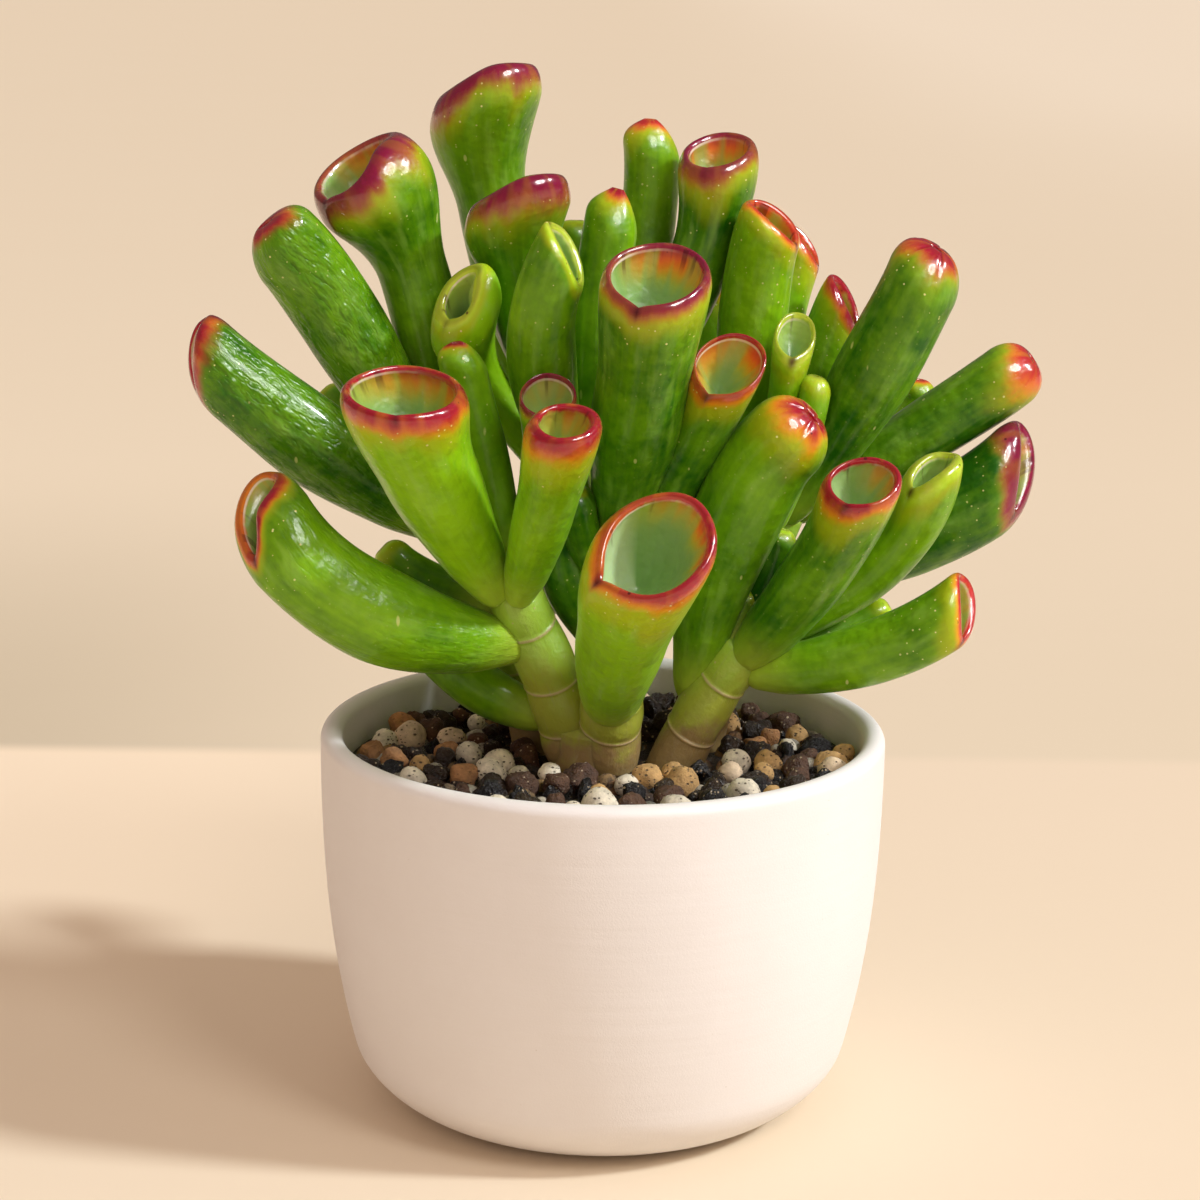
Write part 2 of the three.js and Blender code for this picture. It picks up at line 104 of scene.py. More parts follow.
class GrainKind(Enum):
    """What a soil grain is: its place on the colour scale, roughness of its form and share of the mix."""

    WHITE_PUMICE = (0.05, 0.08, 3)
    CREAM_PUMICE = (0.20, 0.14, 1)
    TAN_CLAY = (0.35, 0.30, 2)
    ORANGE_CLAY = (0.50, 0.45, 1)
    RED_LAVA = (0.65, 0.62, 3)
    BROWN_LAVA = (0.80, 0.80, 6)
    BLACK_LAVA = (0.95, 0.90, 3)


# ---- small mathematics


def smooth(value: Array | float, low: float, high: float) -> Array | float:
    """A soft step from 0 at `low` to 1 at `high`."""
    share = np.clip((np.asarray(value, float) - low) / (high - low), 0.0, 1.0)
    return share * share * (3.0 - 2.0 * share)


def unit(vector: Array) -> Array:
    """Vectors along the last axis at length 1."""
    return vector / np.linalg.norm(vector, axis=-1, keepdims=True)


def direction(compass: float, above: float) -> Array:
    """A unit vector from a compass angle and an angle above the horizon, in degrees."""
    turn, rise = math.radians(compass), math.radians(above)
    return np.array([math.cos(rise) * math.cos(turn), math.cos(rise) * math.sin(turn), math.sin(rise)])


@dataclass(frozen=True)
class Bend:
    """A quadratic curve by its three control points.

    Args:
        start: first point.
        control: the point that pulls the middle.
        end: last point.
    """

    start: Array
    control: Array
    end: Array

    @classmethod
    def through(cls, start: Point, middle: Point, end: Point) -> "Bend":
        """The curve that passes its middle point at the halfway mark."""
        a, m, b = (np.array(p, float) for p in (start, middle, end))
        return cls(a, 2.0 * m - 0.5 * (a + b), b)

    def at(self, share: Array) -> Array:
        """Points at shares of the curve."""
        t = np.asarray(share, float)[..., None]
        return (1 - t) ** 2 * self.start + 2 * t * (1 - t) * self.control + t**2 * self.end

    def tangent(self, share: Array) -> Array:
        """Unit tangents at shares of the curve."""
        t = np.asarray(share, float)[..., None]
        return unit((1 - t) * (self.control - self.start) + t * (self.end - self.control))

    def length(self) -> float:
        """Length of the curve."""
        return float(np.linalg.norm(np.diff(self.at(np.linspace(0, 1, 33)), axis=0), axis=1).sum())


@dataclass(frozen=True)
class Cross:
    """Frames along a curve. Each field is (n, 3).

    Args:
        centre: points of the curve.
        tangent: its directions there.
        across, beside: directions square to the tangent and to each other.
    """

    centre: Array
    tangent: Array
    across: Array
    beside: Array

    @classmethod
    def of(cls, bend: Bend, share: Array, facing: Array) -> "Cross":
        """Frames at some shares of a curve.

        Args:
            bend: the curve.
            share: shares of it.
            facing: direction that `across` lies as near to as it can.

        Returns:
            The frames.
        """
        tangent = bend.tangent(share)
        across = unit(facing - (tangent @ facing)[:, None] * tangent)
        return cls(bend.at(share), tangent, across, np.cross(tangent, across))


# ---- meshes


@dataclass
class Shell:
    """One closed surface.

    Args:
        points: (n, 3) points, in millimetres.
        faces: point numbers of each face.
        material: number of its material.
        values: point attributes by name, (n,) or (n, width).
    """

    points: Array
    faces: list[tuple[int, ...]]
    material: int = 0
    values: dict[str, Array] = field(default_factory=dict)

    @classmethod
    def over(cls, first: Array, rings: Array, last: Array) -> "Shell":
        """The closed surface over a stack of rings that starts and ends in a single point.

        Args:
            first: point that the first ring closes on.
            rings: (rings, sides, 3) points.
            last: point that the last ring closes on.

        Returns:
            A shell of quads with a fan of triangles at each end.
        """
        count, sides, _ = rings.shape
        points = np.vstack([first[None], rings.reshape(-1, 3), last[None]])
        end = len(points) - 1
        side = np.arange(sides)
        after = (side + 1) % sides
        faces: list[tuple[int, ...]] = []
        faces += [(0, int(1 + b), int(1 + a)) for a, b in zip(side, after)]
        for ring in range(count - 1):
            low = 1 + ring * sides
            high = low + sides
            faces += [(low + a, low + b, high + b, high + a) for a, b in zip(side.tolist(), after.tolist())]
        low = 1 + (count - 1) * sides
        faces += [(end, int(low + a), int(low + b)) for a, b in zip(side, after)]
        return cls(points, faces)


def capped(values: Array) -> Array:
    """Values of a shell's rings, with one for the point at each end."""
    flat = values.reshape(-1, values.shape[-1])
    return np.vstack([flat[:1], flat, flat[-1:]])


ATTRIBUTE_KINDS = {1: "FLOAT", 3: "FLOAT_VECTOR", 4: "FLOAT_COLOR"}
ATTRIBUTE_FIELDS = {1: "value", 3: "vector", 4: "color"}


def mesh_object(name: str, shells: list[Shell], materials: list[Material]) -> Thing:
    """An object at the origin that holds some shells.

    Args:
        name: the object's name.
        shells: closed surfaces in millimetres. All have the same attributes, or lack them.
        materials: the object's materials, by the shells' material numbers.

    Returns:
        The linked object, in metres, shaded smooth.
    """
    points, faces, slots = [], [], []
    for shell in shells:
        base = sum(len(p) for p in points)
        points.append(shell.points)
        faces += [tuple(base + i for i in face) for face in shell.faces]
        slots += [shell.material] * len(shell.faces)
    mesh = bpy.data.meshes.new(name)
    mesh.from_pydata((np.vstack(points) * MM).tolist(), [], faces)
    mesh.polygons.foreach_set("material_index", slots)
    mesh.polygons.foreach_set("use_smooth", [True] * len(faces))
    widths = {key: np.atleast_2d(value.T).shape[0] for s in shells for key, value in s.values.items()}
    for key, width in widths.items():
        rows = [s.values.get(key, np.zeros((len(s.points), width))).reshape(-1, width) for s in shells]
        attribute = mesh.attributes.new(key, ATTRIBUTE_KINDS[width], "POINT")
        attribute.data.foreach_set(ATTRIBUTE_FIELDS[width], np.vstack(rows).astype(np.float32).ravel())
    for material in materials:
        mesh.materials.append(material)
    mesh.update()
    mesh.validate()
    thing = bpy.data.objects.new(name, mesh)
    bpy.context.scene.collection.objects.link(thing)
    return thing


def settle(thing: Thing) -> Thing:
    """Turns an object's modifiers into its plain mesh and removes them.

    Args:
        thing: a mesh object with live modifiers.

    Returns:
        The same object with the evaluated mesh.
    """
    graph = bpy.context.evaluated_depsgraph_get()
    made = bpy.data.meshes.new_from_object(thing.evaluated_get(graph))
    thing.modifiers.clear()
    old = thing.data
    thing.data = made
    bpy.data.meshes.remove(old)
    return thing


# ---- node trees


class Sheet:
    """A node tree that is filled in with short calls. Inputs may be numbers, colours or sockets."""

    def __init__(self, tree: Tree) -> None:
        """Keeps the tree."""
        self.tree = tree

    def node(self, kind: str, **settings: object) -> Node:
        """A new node.

        Args:
            kind: its type.
            settings: some of its settings.

        Returns:
            The node.
        """
        made = self.tree.nodes.new(kind)
        for key, value in settings.items():
            setattr(made, key, value)
        return made

    def put(self, target: Socket, value: object) -> None:
        """Gives an input its value.

        Args:
            target: the input.
            value: a socket to link, or the input's own value. None leaves the input as it is.
        """
        if isinstance(value, bpy.types.NodeSocket):
            self.tree.links.new(value, target)
        elif target.type == "RGBA" and value is not None and len(value) == 3:
            target.default_value = (*value, 1.0)
        elif value is not None:
            target.default_value = value

    def run(self, kind: str, *values: object, **settings: object) -> Node:
        """A new node whose first inputs are set in order.

        Args:
            kind: its type.
            values: what goes into its inputs. None leaves an input as it is.
            settings: some of its settings.

        Returns:
            The node.
        """
        made = self.node(kind, **settings)
        for target, value in zip(made.inputs, values):
            self.put(target, value)
        return made

    def fill(self, node: Node, values: dict[str, object]) -> Node:
        """Sets some of a node's inputs by name.

        Args:
            node: the node.
            values: what goes into its inputs, by their names.

        Returns:
            The same node.
        """
        for key, value in values.items():
            self.put(node.inputs[key], value)
        return node

    def math(self, operation: str, a: object, b: object = None, clamp: bool = False) -> Socket:
        """One step of arithmetic."""
        return self.run("ShaderNodeMath", a, b, operation=operation, use_clamp=clamp).outputs[0]

    def times(self, a: object, b: object, clamp: bool = False) -> Socket:
        """The product of two values."""
        return self.math("MULTIPLY", a, b, clamp)

    def plus(self, a: object, b: object, clamp: bool = False) -> Socket:
        """The sum of two values."""
        return self.math("ADD", a, b, clamp)

    def less(self, a: object, b: object) -> Socket:
        """A value less another."""
        return self.math("SUBTRACT", a, b)

    def sway(self, value: object, wave: Socket, most: float, clamp: bool = False) -> Socket:
        """A value that a wave of 0 to 1 lowers and raises by up to half of `most`."""
        return self.plus(value, self.times(self.less(wave, 0.5), most), clamp)

    def step(self, value: object, start: object, end: object, low: float = 0.0, high: float = 1.0) -> Socket:
        """A soft step from `low` at `start` to `high` at `end`."""
        limits = (start, end, low, high)
        return self.run("ShaderNodeMapRange", value, *limits, interpolation_type="SMOOTHSTEP").outputs[0]

    def mix(self, share: object, a: object, b: object, blend: str = "MIX") -> Socket:
        """A colour between two colours.

        Args:
            share: share of the second colour.
            a: the first colour.
            b: the second colour.
            blend: how they are combined.

        Returns:
            The colour.
        """
        node = self.node("ShaderNodeMix", data_type="RGBA", blend_type=blend)
        for place, value in ((0, share), (6, a), (7, b)):
            self.put(node.inputs[place], value)
        return node.outputs[2]

    def split(self, vector: Socket) -> tuple[Socket, ...]:
        """The three numbers of a vector."""
        return tuple(self.run("ShaderNodeSeparateXYZ", vector).outputs)

    def stretch(self, vector: Socket, scale: Point) -> Socket:
        """A vector times a scale along each axis."""
        return self.run("ShaderNodeVectorMath", vector, scale, operation="MULTIPLY").outputs[0]

    def noise(self, vector: Socket, scale: object, detail: float = 2.0, roughness: float = 0.5) -> Socket:
        """Smooth noise from 0 to 1, so many times a unit."""
        return self.run("ShaderNodeTexNoise", vector, None, scale, detail, roughness).outputs[0]

    def attribute(self, name: str, output: str = "Fac") -> Socket:
        """A point attribute of the mesh."""
        return self.node("ShaderNodeAttribute", attribute_name=name).outputs[output]

    def millimetres(self) -> Socket:
        """Object coordinates in millimetres."""
        return self.stretch(self.node("ShaderNodeTexCoord").outputs["Object"], (1 / MM, 1 / MM, 1 / MM))

    def group(self, tree: Tree, **values: object) -> Socket:
        """A shader node group's first output, with some of its inputs in lower case."""
        named = {key.title(): value for key, value in values.items()}
        return self.fill(self.node("ShaderNodeGroup", node_tree=tree), named).outputs[0]

    def bump(self, height: Socket, depth: float) -> Socket:
        """A normal from a height of 0 to 1 that stands for so many millimetres."""
        values = {"Strength": 1.0, "Distance": depth * MM, "Height": height}
        return self.fill(self.node("ShaderNodeBump"), values).outputs[0]


def shader_group(name: str, sizes: dict[str, float], output: str) -> tuple[Sheet, Sockets, Socket]:
    """An empty shader node group that makes one number from a place and some sizes.

    Args:
        name: the group's name.
        sizes: first value of each size.
        output: name of the number.

    Returns:
        The sheet to fill in, the inner sockets of the inputs, and that of the output.
    """
    tree = bpy.data.node_groups.new(name, "ShaderNodeTree")
    tree.interface.new_socket(name="Vector", in_out="INPUT", socket_type="NodeSocketVector")
    for key, value in sizes.items():
        tree.interface.new_socket(name=key, in_out="INPUT", socket_type=NUMBER).default_value = value
    tree.interface.new_socket(name=output, in_out="OUTPUT", socket_type=NUMBER)
    sheet = Sheet(tree)
    source, target = sheet.node("NodeGroupInput"), sheet.node("NodeGroupOutput")
    return sheet, source.outputs, target.inputs[0]


def speckle_group() -> Tree:
    """Small round dots at random places.

    Returns:
        A group that gives 1 in a dot and 0 outside it. Pitch and Radius are lengths, and Share is the share
        of the places that have a dot.
    """
    sheet, given, mask = shader_group("speckle", {"Pitch": 1.0, "Radius": 0.2, "Share": 0.3}, "Mask")
    cells = sheet.node("ShaderNodeTexVoronoi", feature="F1")
    sheet.fill(cells, {"Vector": given["Vector"], "Scale": sheet.math("DIVIDE", 1.0, given["Pitch"])})
    away = sheet.times(cells.outputs["Distance"], given["Pitch"])
    chance, size, _ = sheet.run("ShaderNodeSeparateColor", cells.outputs["Color"]).outputs
    radius = sheet.times(given["Radius"], sheet.plus(size, 0.35))
    dot = sheet.step(away, radius, sheet.times(radius, 0.6))
    kept = sheet.math("LESS_THAN", chance, given["Share"])
    sheet.put(mask, sheet.times(dot, kept))
    return sheet.tree


def mottle_group() -> Tree:
    """Uneven tone in large and small patches.

    Returns:
        A group that gives 0 to 1. Patch is the size of a large patch.
    """
    sheet, given, tone = shader_group("mottle", {"Patch": 10.0, "Contrast": 1.0}, "Tone")
    scale = sheet.math("DIVIDE", 1.0, given["Patch"])
    large = sheet.noise(given["Vector"], scale)
    small = sheet.noise(given["Vector"], sheet.times(scale, 4.7), 3.0, 0.6)
    both = sheet.plus(sheet.times(large, 0.7), sheet.times(small, 0.3))
    spread = sheet.times(sheet.less(both, 0.5), sheet.times(given["Contrast"], 2.0))
    sheet.put(tone, sheet.plus(spread, 0.5, clamp=True))
    return sheet.tree


def finish_sheet(name: str) -> tuple[Sheet, Node, Material]:
    """A new material with a Principled shader.

    Args:
        name: the material's name.

    Returns:
        The sheet of its node tree, its shader and the material.
    """
    material = bpy.data.materials.new(name)
    material.use_nodes = True
    return Sheet(material.node_tree), material.node_tree.nodes["Principled BSDF"], material


# ---- finishes


class LeafSheet(Sheet):
    """The leaf material's node tree, with the leaf's attributes and the noises that its patterns share."""

    DRIPS = (0.85, 0.85, 0.22)
    HUES = (0.289, 0.289, 0.051)
    PATCH = 11.0

    def __init__(self, tree: Tree, mottle: Tree) -> None:
        """Keeps the tree and reads the attributes.

        Args:
            tree: the material's node tree.
            mottle: node group of uneven tone.
        """
        super().__init__(tree)
        self.place = self.millimetres()
        self.way = self.attribute("way", "Vector")
        self.rim = self.attribute("rim")
        self.root = self.attribute("root")
        self.blush = self.attribute("blush", "Color")
        self.reach = self.attribute("blush", "Alpha")
        self.glow = self.attribute("glow", "Color")
        self.tone = self.attribute("glow", "Alpha")
        self.wrinkle, self.notch, self.heat = self.split(self.attribute("traits", "Vector"))
        # Strength of the painted highlight on the cup's inner edge, and the spread of the glow.
        self.line, self.spread, _ = self.split(self.attribute("sides", "Vector"))
        self.patches = self.group(mottle, vector=self.place, patch=self.PATCH, contrast=1.0)
        self.patch = self.less(self.patches, 0.5)
        self.drip = self.less(self.along(self.DRIPS, 2.0, 0.55), 0.5)
        self.hues = self.along(self.HUES)

    def along(self, pace: Point, detail: float = 1.0, roughness: float = 0.5) -> Socket:
        """Noise that follows the leaf.

        Args:
            pace: how fast it changes round the leaf, twice, and along it, per millimetre.
            detail: number of finer waves in it.
            roughness: strength of the finer waves.

        Returns:
            A number from 0 to 1.
        """
        return self.noise(self.stretch(self.way, pace), 1.0, detail, roughness)


@dataclass(frozen=True)
class LeafFinish:
    """Glossy green flesh with a blushing rim, pale cup, speckles and scratches.

    Args:
        deep: green of shaded, older flesh.
        bright: yellow-green of young flesh.
        base: pale green where a leaf leaves its stem.
        bloom: paler green of its waxy streaks.
        warm: yellower green between the glow and the flesh.
        cup: grey-green deep in the cup, its own hue made darker there as painted shade.
        cup_rim: yellower green of a young cup's wall.
        mint: pale green of the cup's wall on the side that isn't flushed.
        ember: red-orange of the cup's wall near the rim.
        painted_edge_highlight: painted highlight, a thin pale line along the cup's inner edge.
        speckle: pale dots under the rim.
        dark_mark: near-black red of notches, veins and spots.
        band: width of the rim's colour on the outside, in millimetres.
        glow: reach of the glow under it, in millimetres.
        warmth: reach of the yellower flesh under that, in millimetres.
        base_end: reach of the pale base from the root, in millimetres.
        relief: depth of the skin's grain and waves, in millimetres.
    """

    deep: Colour = (0.015, 0.122, 0.0005)
    bright: Colour = (0.29, 0.59, 0.005)
    base: Colour = (0.50, 0.66, 0.06)
    bloom: Colour = (0.34, 0.58, 0.10)
    warm: Colour = (0.47, 0.52, 0.010)
    # Grey-green of the cup's depth: its own hue, darkened as painted shade.
    cup: Colour = (0.21, 0.40, 0.11)
    cup_rim: Colour = (0.46, 0.58, 0.04)
    mint: Colour = (0.50, 0.66, 0.36)
    ember: Colour = (0.80, 0.13, 0.015)
    # Painted highlight: a thin pale line along the cup's inner edge.
    painted_edge_highlight: Colour = (0.90, 0.78, 0.66)
    speckle: Colour = (0.78, 0.78, 0.30)
    dark_mark: Colour = (0.06, 0.006, 0.010)
    band: float = 2.4
    glow: float = 5.0
    warmth: float = 9.0
    base_end: float = 13.0
    relief: float = 0.13

    STREAKS = (0.9, 0.9, 0.05)
    WAX = (0.40, 0.40, 0.13)
    TURNS = (0.13, 0.13, 0.02)
    VEINS = (0.5, 0.5, 0.02)
    # Pace of the noise that breaks up the painted highlight on the cup's inner edge.
    HIGHLIGHT_BREAKS = (0.22, 0.22, 0.02)
    CREASES = (0.55, 0.55, 0.22)
    LONG = (1.0, 0.8, 0.34)
    LOOK = {
        "IOR": 1.40, "Specular IOR Level": 0.28, "Coat Roughness": 0.10,
        "Sheen Weight": 0.03, "Sheen Roughness": 0.35,
        "Subsurface Weight": 0.25, "Subsurface Radius": (0.60, 1.0, 0.10), "Subsurface Scale": 3.4 * MM,
    }

    def material(self, speckles: Tree, mottle: Tree) -> Material:
        """The leaf material.

        Args:
            speckles: node group of dots.
            mottle: node group of uneven tone.

        Returns:
            A material that reads the leaf's own attributes.
        """
        sheet, shader, material = finish_sheet("leaf_flesh")
        leaf = LeafSheet(sheet.tree, mottle)
        local = leaf.times(leaf.reach, leaf.step(leaf.along(self.TURNS), 0.34, 0.66, 0.70, 1.25))
        below = leaf.math("DIVIDE", leaf.rim, local)
        ragged = leaf.plus(leaf.plus(below, leaf.times(leaf.drip, 1.1)), leaf.times(leaf.patch, 1.1))
        band = leaf.step(ragged, self.band * 1.6, self.band * 0.5)
        outside = leaf.mix(band, self._glowing(leaf, below), self._rim_skin(leaf, below))
        colour = leaf.mix(leaf.step(leaf.rim, -0.1, -0.6), outside, self._inside(leaf))
        outer = leaf.times(band, leaf.step(leaf.rim, -2.0, -0.5))
        dull = leaf.less(leaf.plus(leaf.times(leaf.patches, 0.14), 0.28), leaf.times(outer, 0.10))
        leaf.fill(shader, {
            "Base Color": self._marked(leaf, colour, below, speckles), "Normal": self._relief(leaf),
            "Roughness": leaf.less(dull, leaf.times(leaf.wrinkle, 0.09)),
            "Coat Weight": leaf.plus(leaf.times(outer, 0.75), 0.25), **self.LOOK,
        })
        return material

    def _flesh(self, leaf: LeafSheet) -> Socket:
        """The green of the body: mottled, streaked with wax and paler at the root.

        Args:
            leaf: the material's sheet.

        Returns:
            A colour.
        """
        age = leaf.plus(leaf.tone, leaf.times(leaf.patch, 0.72))
        age = leaf.sway(age, leaf.along(self.STREAKS, 2.0), 0.40)
        age = leaf.sway(age, leaf.noise(leaf.place, 0.6, 2.0, 0.5), 0.28, clamp=True)
        flesh = leaf.mix(age, self.deep, self.bright)
        wax = leaf.along(self.WAX, 2.0)
        flesh = leaf.mix(leaf.step(wax, 0.50, 0.74, 0.0, 0.30), flesh, self.bloom)
        return leaf.mix(leaf.step(leaf.root, self.base_end, 1.5, 0.0, 0.80), flesh, self.base)

    def _glowing(self, leaf: LeafSheet, below: Socket) -> Socket:
        """The body's colour with the glow that fades downwards from the rim.

        Args:
            leaf: the material's sheet.
            below: distance under the rim over the blush's local reach.

        Returns:
            A colour.
        """
        uneven = leaf.plus(leaf.times(leaf.patch, 3.0), leaf.times(leaf.drip, 0.9))
        far = leaf.plus(leaf.math("DIVIDE", below, leaf.spread), uneven)
        soft = leaf.plus(leaf.math("DIVIDE", below, leaf.math("SQRT", leaf.spread)), uneven)
        warm_share = leaf.step(far, self.warmth, self.glow * 0.75, 0.0, 0.70)
        under = leaf.mix(warm_share, self._flesh(leaf), self.warm)
        return leaf.mix(leaf.step(soft, self.glow, self.band * 0.8, 0.0, 0.9), under, leaf.glow)

    def _rim_skin(self, leaf: LeafSheet, below: Socket) -> Socket:
        """The rim's own colour: its blush, in places its glow, and darkest at the crown.

        Args:
            leaf: the material's sheet.
            below: distance under the rim over the blush's local reach.

        Returns:
            A colour.
        """
        skin = leaf.mix(leaf.step(leaf.hues, 0.50, 0.68, 0.0, 0.42), leaf.blush, leaf.glow)
        return leaf.mix(leaf.step(below, 2.2, 0.4, 0.0, 0.30), skin, self.dark_mark)

    def _inside(self, leaf: LeafSheet) -> Socket:
        """The cup's wall: grey-green with painted shade at its bottom, flushed on one side, veined, with a
        painted highlight on its inner edge.

        Args:
            leaf: the material's sheet.

        Returns:
            A colour.
        """
        depth = leaf.times(leaf.rim, -1.0)
        inner = leaf.plus(leaf.plus(depth, leaf.times(leaf.drip, 0.9)), leaf.times(leaf.patch, 1.2))
        fresh = leaf.mix(leaf.times(leaf.tone, 0.5, clamp=True), self.cup, self.cup_rim)
        # Deeper in the cup the wall turns to the darker grey-green: partly its own colour, partly painted
        # shade.
        inside = leaf.mix(leaf.step(inner, 2.0, 7.0), fresh, self.cup)
        cold = leaf.times(leaf.heat, -4.0, clamp=True)
        inside = leaf.mix(leaf.times(cold, 0.85), inside, self.mint)
        hot = leaf.times(leaf.heat, leaf.step(leaf.hues, 0.34, 0.66, 0.30, 1.15), clamp=True)
        inside = leaf.mix(leaf.times(hot, leaf.step(inner, 8.5, 3.2)), inside, self.warm)
        inside = leaf.mix(leaf.times(hot, leaf.step(inner, 6.5, 1.8)), inside, self.ember)
        inside = leaf.mix(leaf.times(hot, leaf.step(inner, 3.0, 1.2, 0.0, 0.6)), inside, leaf.blush)
        inside = leaf.mix(leaf.step(inner, 1.5, 0.7), inside, leaf.blush)
        vein = leaf.along(self.VEINS, roughness=0.4)
        veins = leaf.times(leaf.step(vein, 0.62, 0.70), leaf.step(depth, 4.6, 1.6))
        inside = leaf.mix(leaf.times(veins, 0.55), inside, self.dark_mark)
        # Painted highlight: a thin pale line along the cup's inner edge, broken by noise, strongest on the
        # leaf's chosen side.
        edge = leaf.times(leaf.step(depth, 0.80, 0.95), leaf.step(depth, 1.40, 1.10))
        broken = leaf.step(leaf.along(self.HIGHLIGHT_BREAKS, roughness=0.4), 0.38, 0.54, 0.45, 1.0)
        edge = leaf.times(leaf.times(edge, broken), leaf.line)
        return leaf.mix(edge, inside, self.painted_edge_highlight)

    def _marked(self, leaf: LeafSheet, colour: Socket, below: Socket, speckles: Tree) -> Socket:
        """A colour with pale dots and scratches, dark spots at the rim and a dark notch.

        Args:
            leaf: the material's sheet.
            colour: the colour that carries the marks.
            below: distance under the rim over the blush's local reach.
            speckles: node group of dots.

        Returns:
            The marked colour.
        """
        dots = leaf.group(speckles, vector=leaf.place, pitch=0.85, radius=0.17, share=0.32)
        near = leaf.times(leaf.step(below, 1.9, 2.8), leaf.step(leaf.rim, 17.0, 6.0, 0.12, 1.0))
        colour = leaf.mix(leaf.times(dots, near), colour, self.speckle)
        longer = leaf.stretch(leaf.place, self.LONG)
        scratches = leaf.group(speckles, vector=longer, pitch=2.1, radius=0.27, share=0.16)
        body = leaf.times(leaf.step(leaf.rim, 8.0, 12.0), 0.55)
        colour = leaf.mix(leaf.times(scratches, body), colour, self.speckle)
        spots = leaf.group(speckles, vector=leaf.place, pitch=1.7, radius=0.26, share=0.22)
        at_rim = leaf.times(leaf.step(leaf.rim, -2.5, -0.5), leaf.step(below, 3.4, 2.0))
        colour = leaf.mix(leaf.times(leaf.times(spots, at_rim), 0.8), colour, self.dark_mark)
        return leaf.mix(leaf.times(leaf.notch, 0.9), colour, self.dark_mark)

    def _relief(self, leaf: LeafSheet) -> Socket:
        """The skin's fine grain and slow waves, and the folds of a shrivelled leaf.

        Args:
            leaf: the material's sheet.

        Returns:
            A normal.
        """
        creases = leaf.less(leaf.along(self.CREASES, 2.0, 0.6), 0.5)
        folds = leaf.times(leaf.math("ABSOLUTE", creases), leaf.wrinkle)
        grain = leaf.times(leaf.noise(leaf.place, 2.6, 1.0, 0.6), 0.16)
        height = leaf.plus(grain, leaf.times(folds, 13.0))
        waves = leaf.noise(leaf.place, 0.55, 1.0, 0.55)
        return leaf.bump(leaf.plus(height, leaf.times(waves, 1.8)), self.relief)


@dataclass(frozen=True)
class StemFinish:
    """Waxy olive skin that turns brown at the foot, with pale rings where leaves have dropped.

    Args:
        foot, middle, top: the skin's colours from the soil upwards.
        ring: ring scars and small dots.
        stain: the darker fibres.
        soil_height: height of the soil, in millimetres.
        relief: depth of the fibres and dents, in millimetres.
    """

    foot: Colour = (0.33, 0.225, 0.085)
    middle: Colour = (0.39, 0.44, 0.040)
    top: Colour = (0.40, 0.62, 0.05)
    ring: Colour = (0.66, 0.50, 0.29)
    stain: Colour = (0.36, 0.27, 0.20)
    soil_height: float = 55.0
    relief: float = 0.16

    FIBRES = (2.2, 2.2, 0.12)
    LOOK = {
        "Coat Weight": 0.30, "Coat Roughness": 0.12,
        "Subsurface Weight": 0.30, "Subsurface Radius": (1.0, 0.7, 0.2), "Subsurface Scale": 2.0 * MM,
    }

    def material(self, speckles: Tree, mottle: Tree) -> Material:
        """The stem material.

        Args:
            speckles: node group of dots.
            mottle: node group of uneven tone.

        Returns:
            A material that reads the height over the soil and the stem's own attributes.
        """
        sheet, shader, material = finish_sheet("stem_skin")
        place = sheet.millimetres()
        patches = sheet.group(mottle, vector=place, patch=8.0, contrast=0.9)
        fibres = sheet.noise(sheet.stretch(sheet.attribute("way", "Vector"), self.FIBRES), 1.0, 3.0, 0.6)
        up = sheet.sway(sheet.less(sheet.split(place)[2], self.soil_height), patches, 14.0)
        colour = sheet.mix(sheet.step(up, 2.0, 9.0), self.foot, self.middle)
        colour = sheet.mix(sheet.step(up, 10.0, 24.0), colour, self.top)
        colour = sheet.mix(sheet.step(fibres, 0.55, 0.8, 0.0, 0.25), colour, self.stain)
        colour = sheet.mix(sheet.step(sheet.attribute("ring"), 0.3, 0.9, 0.0, 0.7), colour, self.ring)
        dots = sheet.group(speckles, vector=place, pitch=1.6, radius=0.2, share=0.22)
        height = sheet.plus(sheet.times(fibres, 0.35), sheet.noise(place, 1.1, 3.0))
        sheet.fill(shader, {
            "Base Color": sheet.mix(sheet.times(dots, 0.5), colour, self.ring),
            "Roughness": sheet.plus(sheet.times(patches, 0.2), 0.30),
            "Normal": sheet.bump(height, self.relief), **self.LOOK,
        })
        return material


@dataclass(frozen=True)
class PotFinish:
    """Matte off-white ceramic with a fine tooth and a few faint specks.

    Args:
        body, shade: the two tones that it varies between.
        speck: its specks.
        relief: depth of the tooth and of the turning rings, in millimetres.
    """

    body: Colour = (0.845, 0.822, 0.815)
    shade: Colour = (0.81, 0.782, 0.77)
    speck: Colour = (0.50, 0.42, 0.33)
    relief: float = 0.07

    RINGS = (0.03, 0.03, 0.5)

    def material(self, speckles: Tree, mottle: Tree) -> Material:
        """The pot material.

        Args:
            speckles: node group of dots.
            mottle: node group of uneven tone.

        Returns:
            A material on object coordinates.
        """
        sheet, shader, material = finish_sheet("pot_ceramic")
        place = sheet.millimetres()
        patches = sheet.group(mottle, vector=place, patch=26.0, contrast=1.0)
        specks = sheet.group(speckles, vector=place, pitch=2.4, radius=0.13, share=0.18)
        tooth = sheet.noise(place, 3.2, 3.0, 0.7)
        height = sheet.plus(sheet.times(tooth, 0.5), sheet.noise(sheet.stretch(place, self.RINGS), 1.0))
        colour = sheet.mix(patches, self.body, self.shade)
        sheet.fill(shader, {
            "Base Color": sheet.mix(sheet.times(specks, 0.35), colour, self.speck),
            "Roughness": sheet.plus(sheet.times(tooth, 0.16), 0.50),
            "Normal": sheet.bump(height, self.relief), "Specular IOR Level": 0.35,
        })
        return material


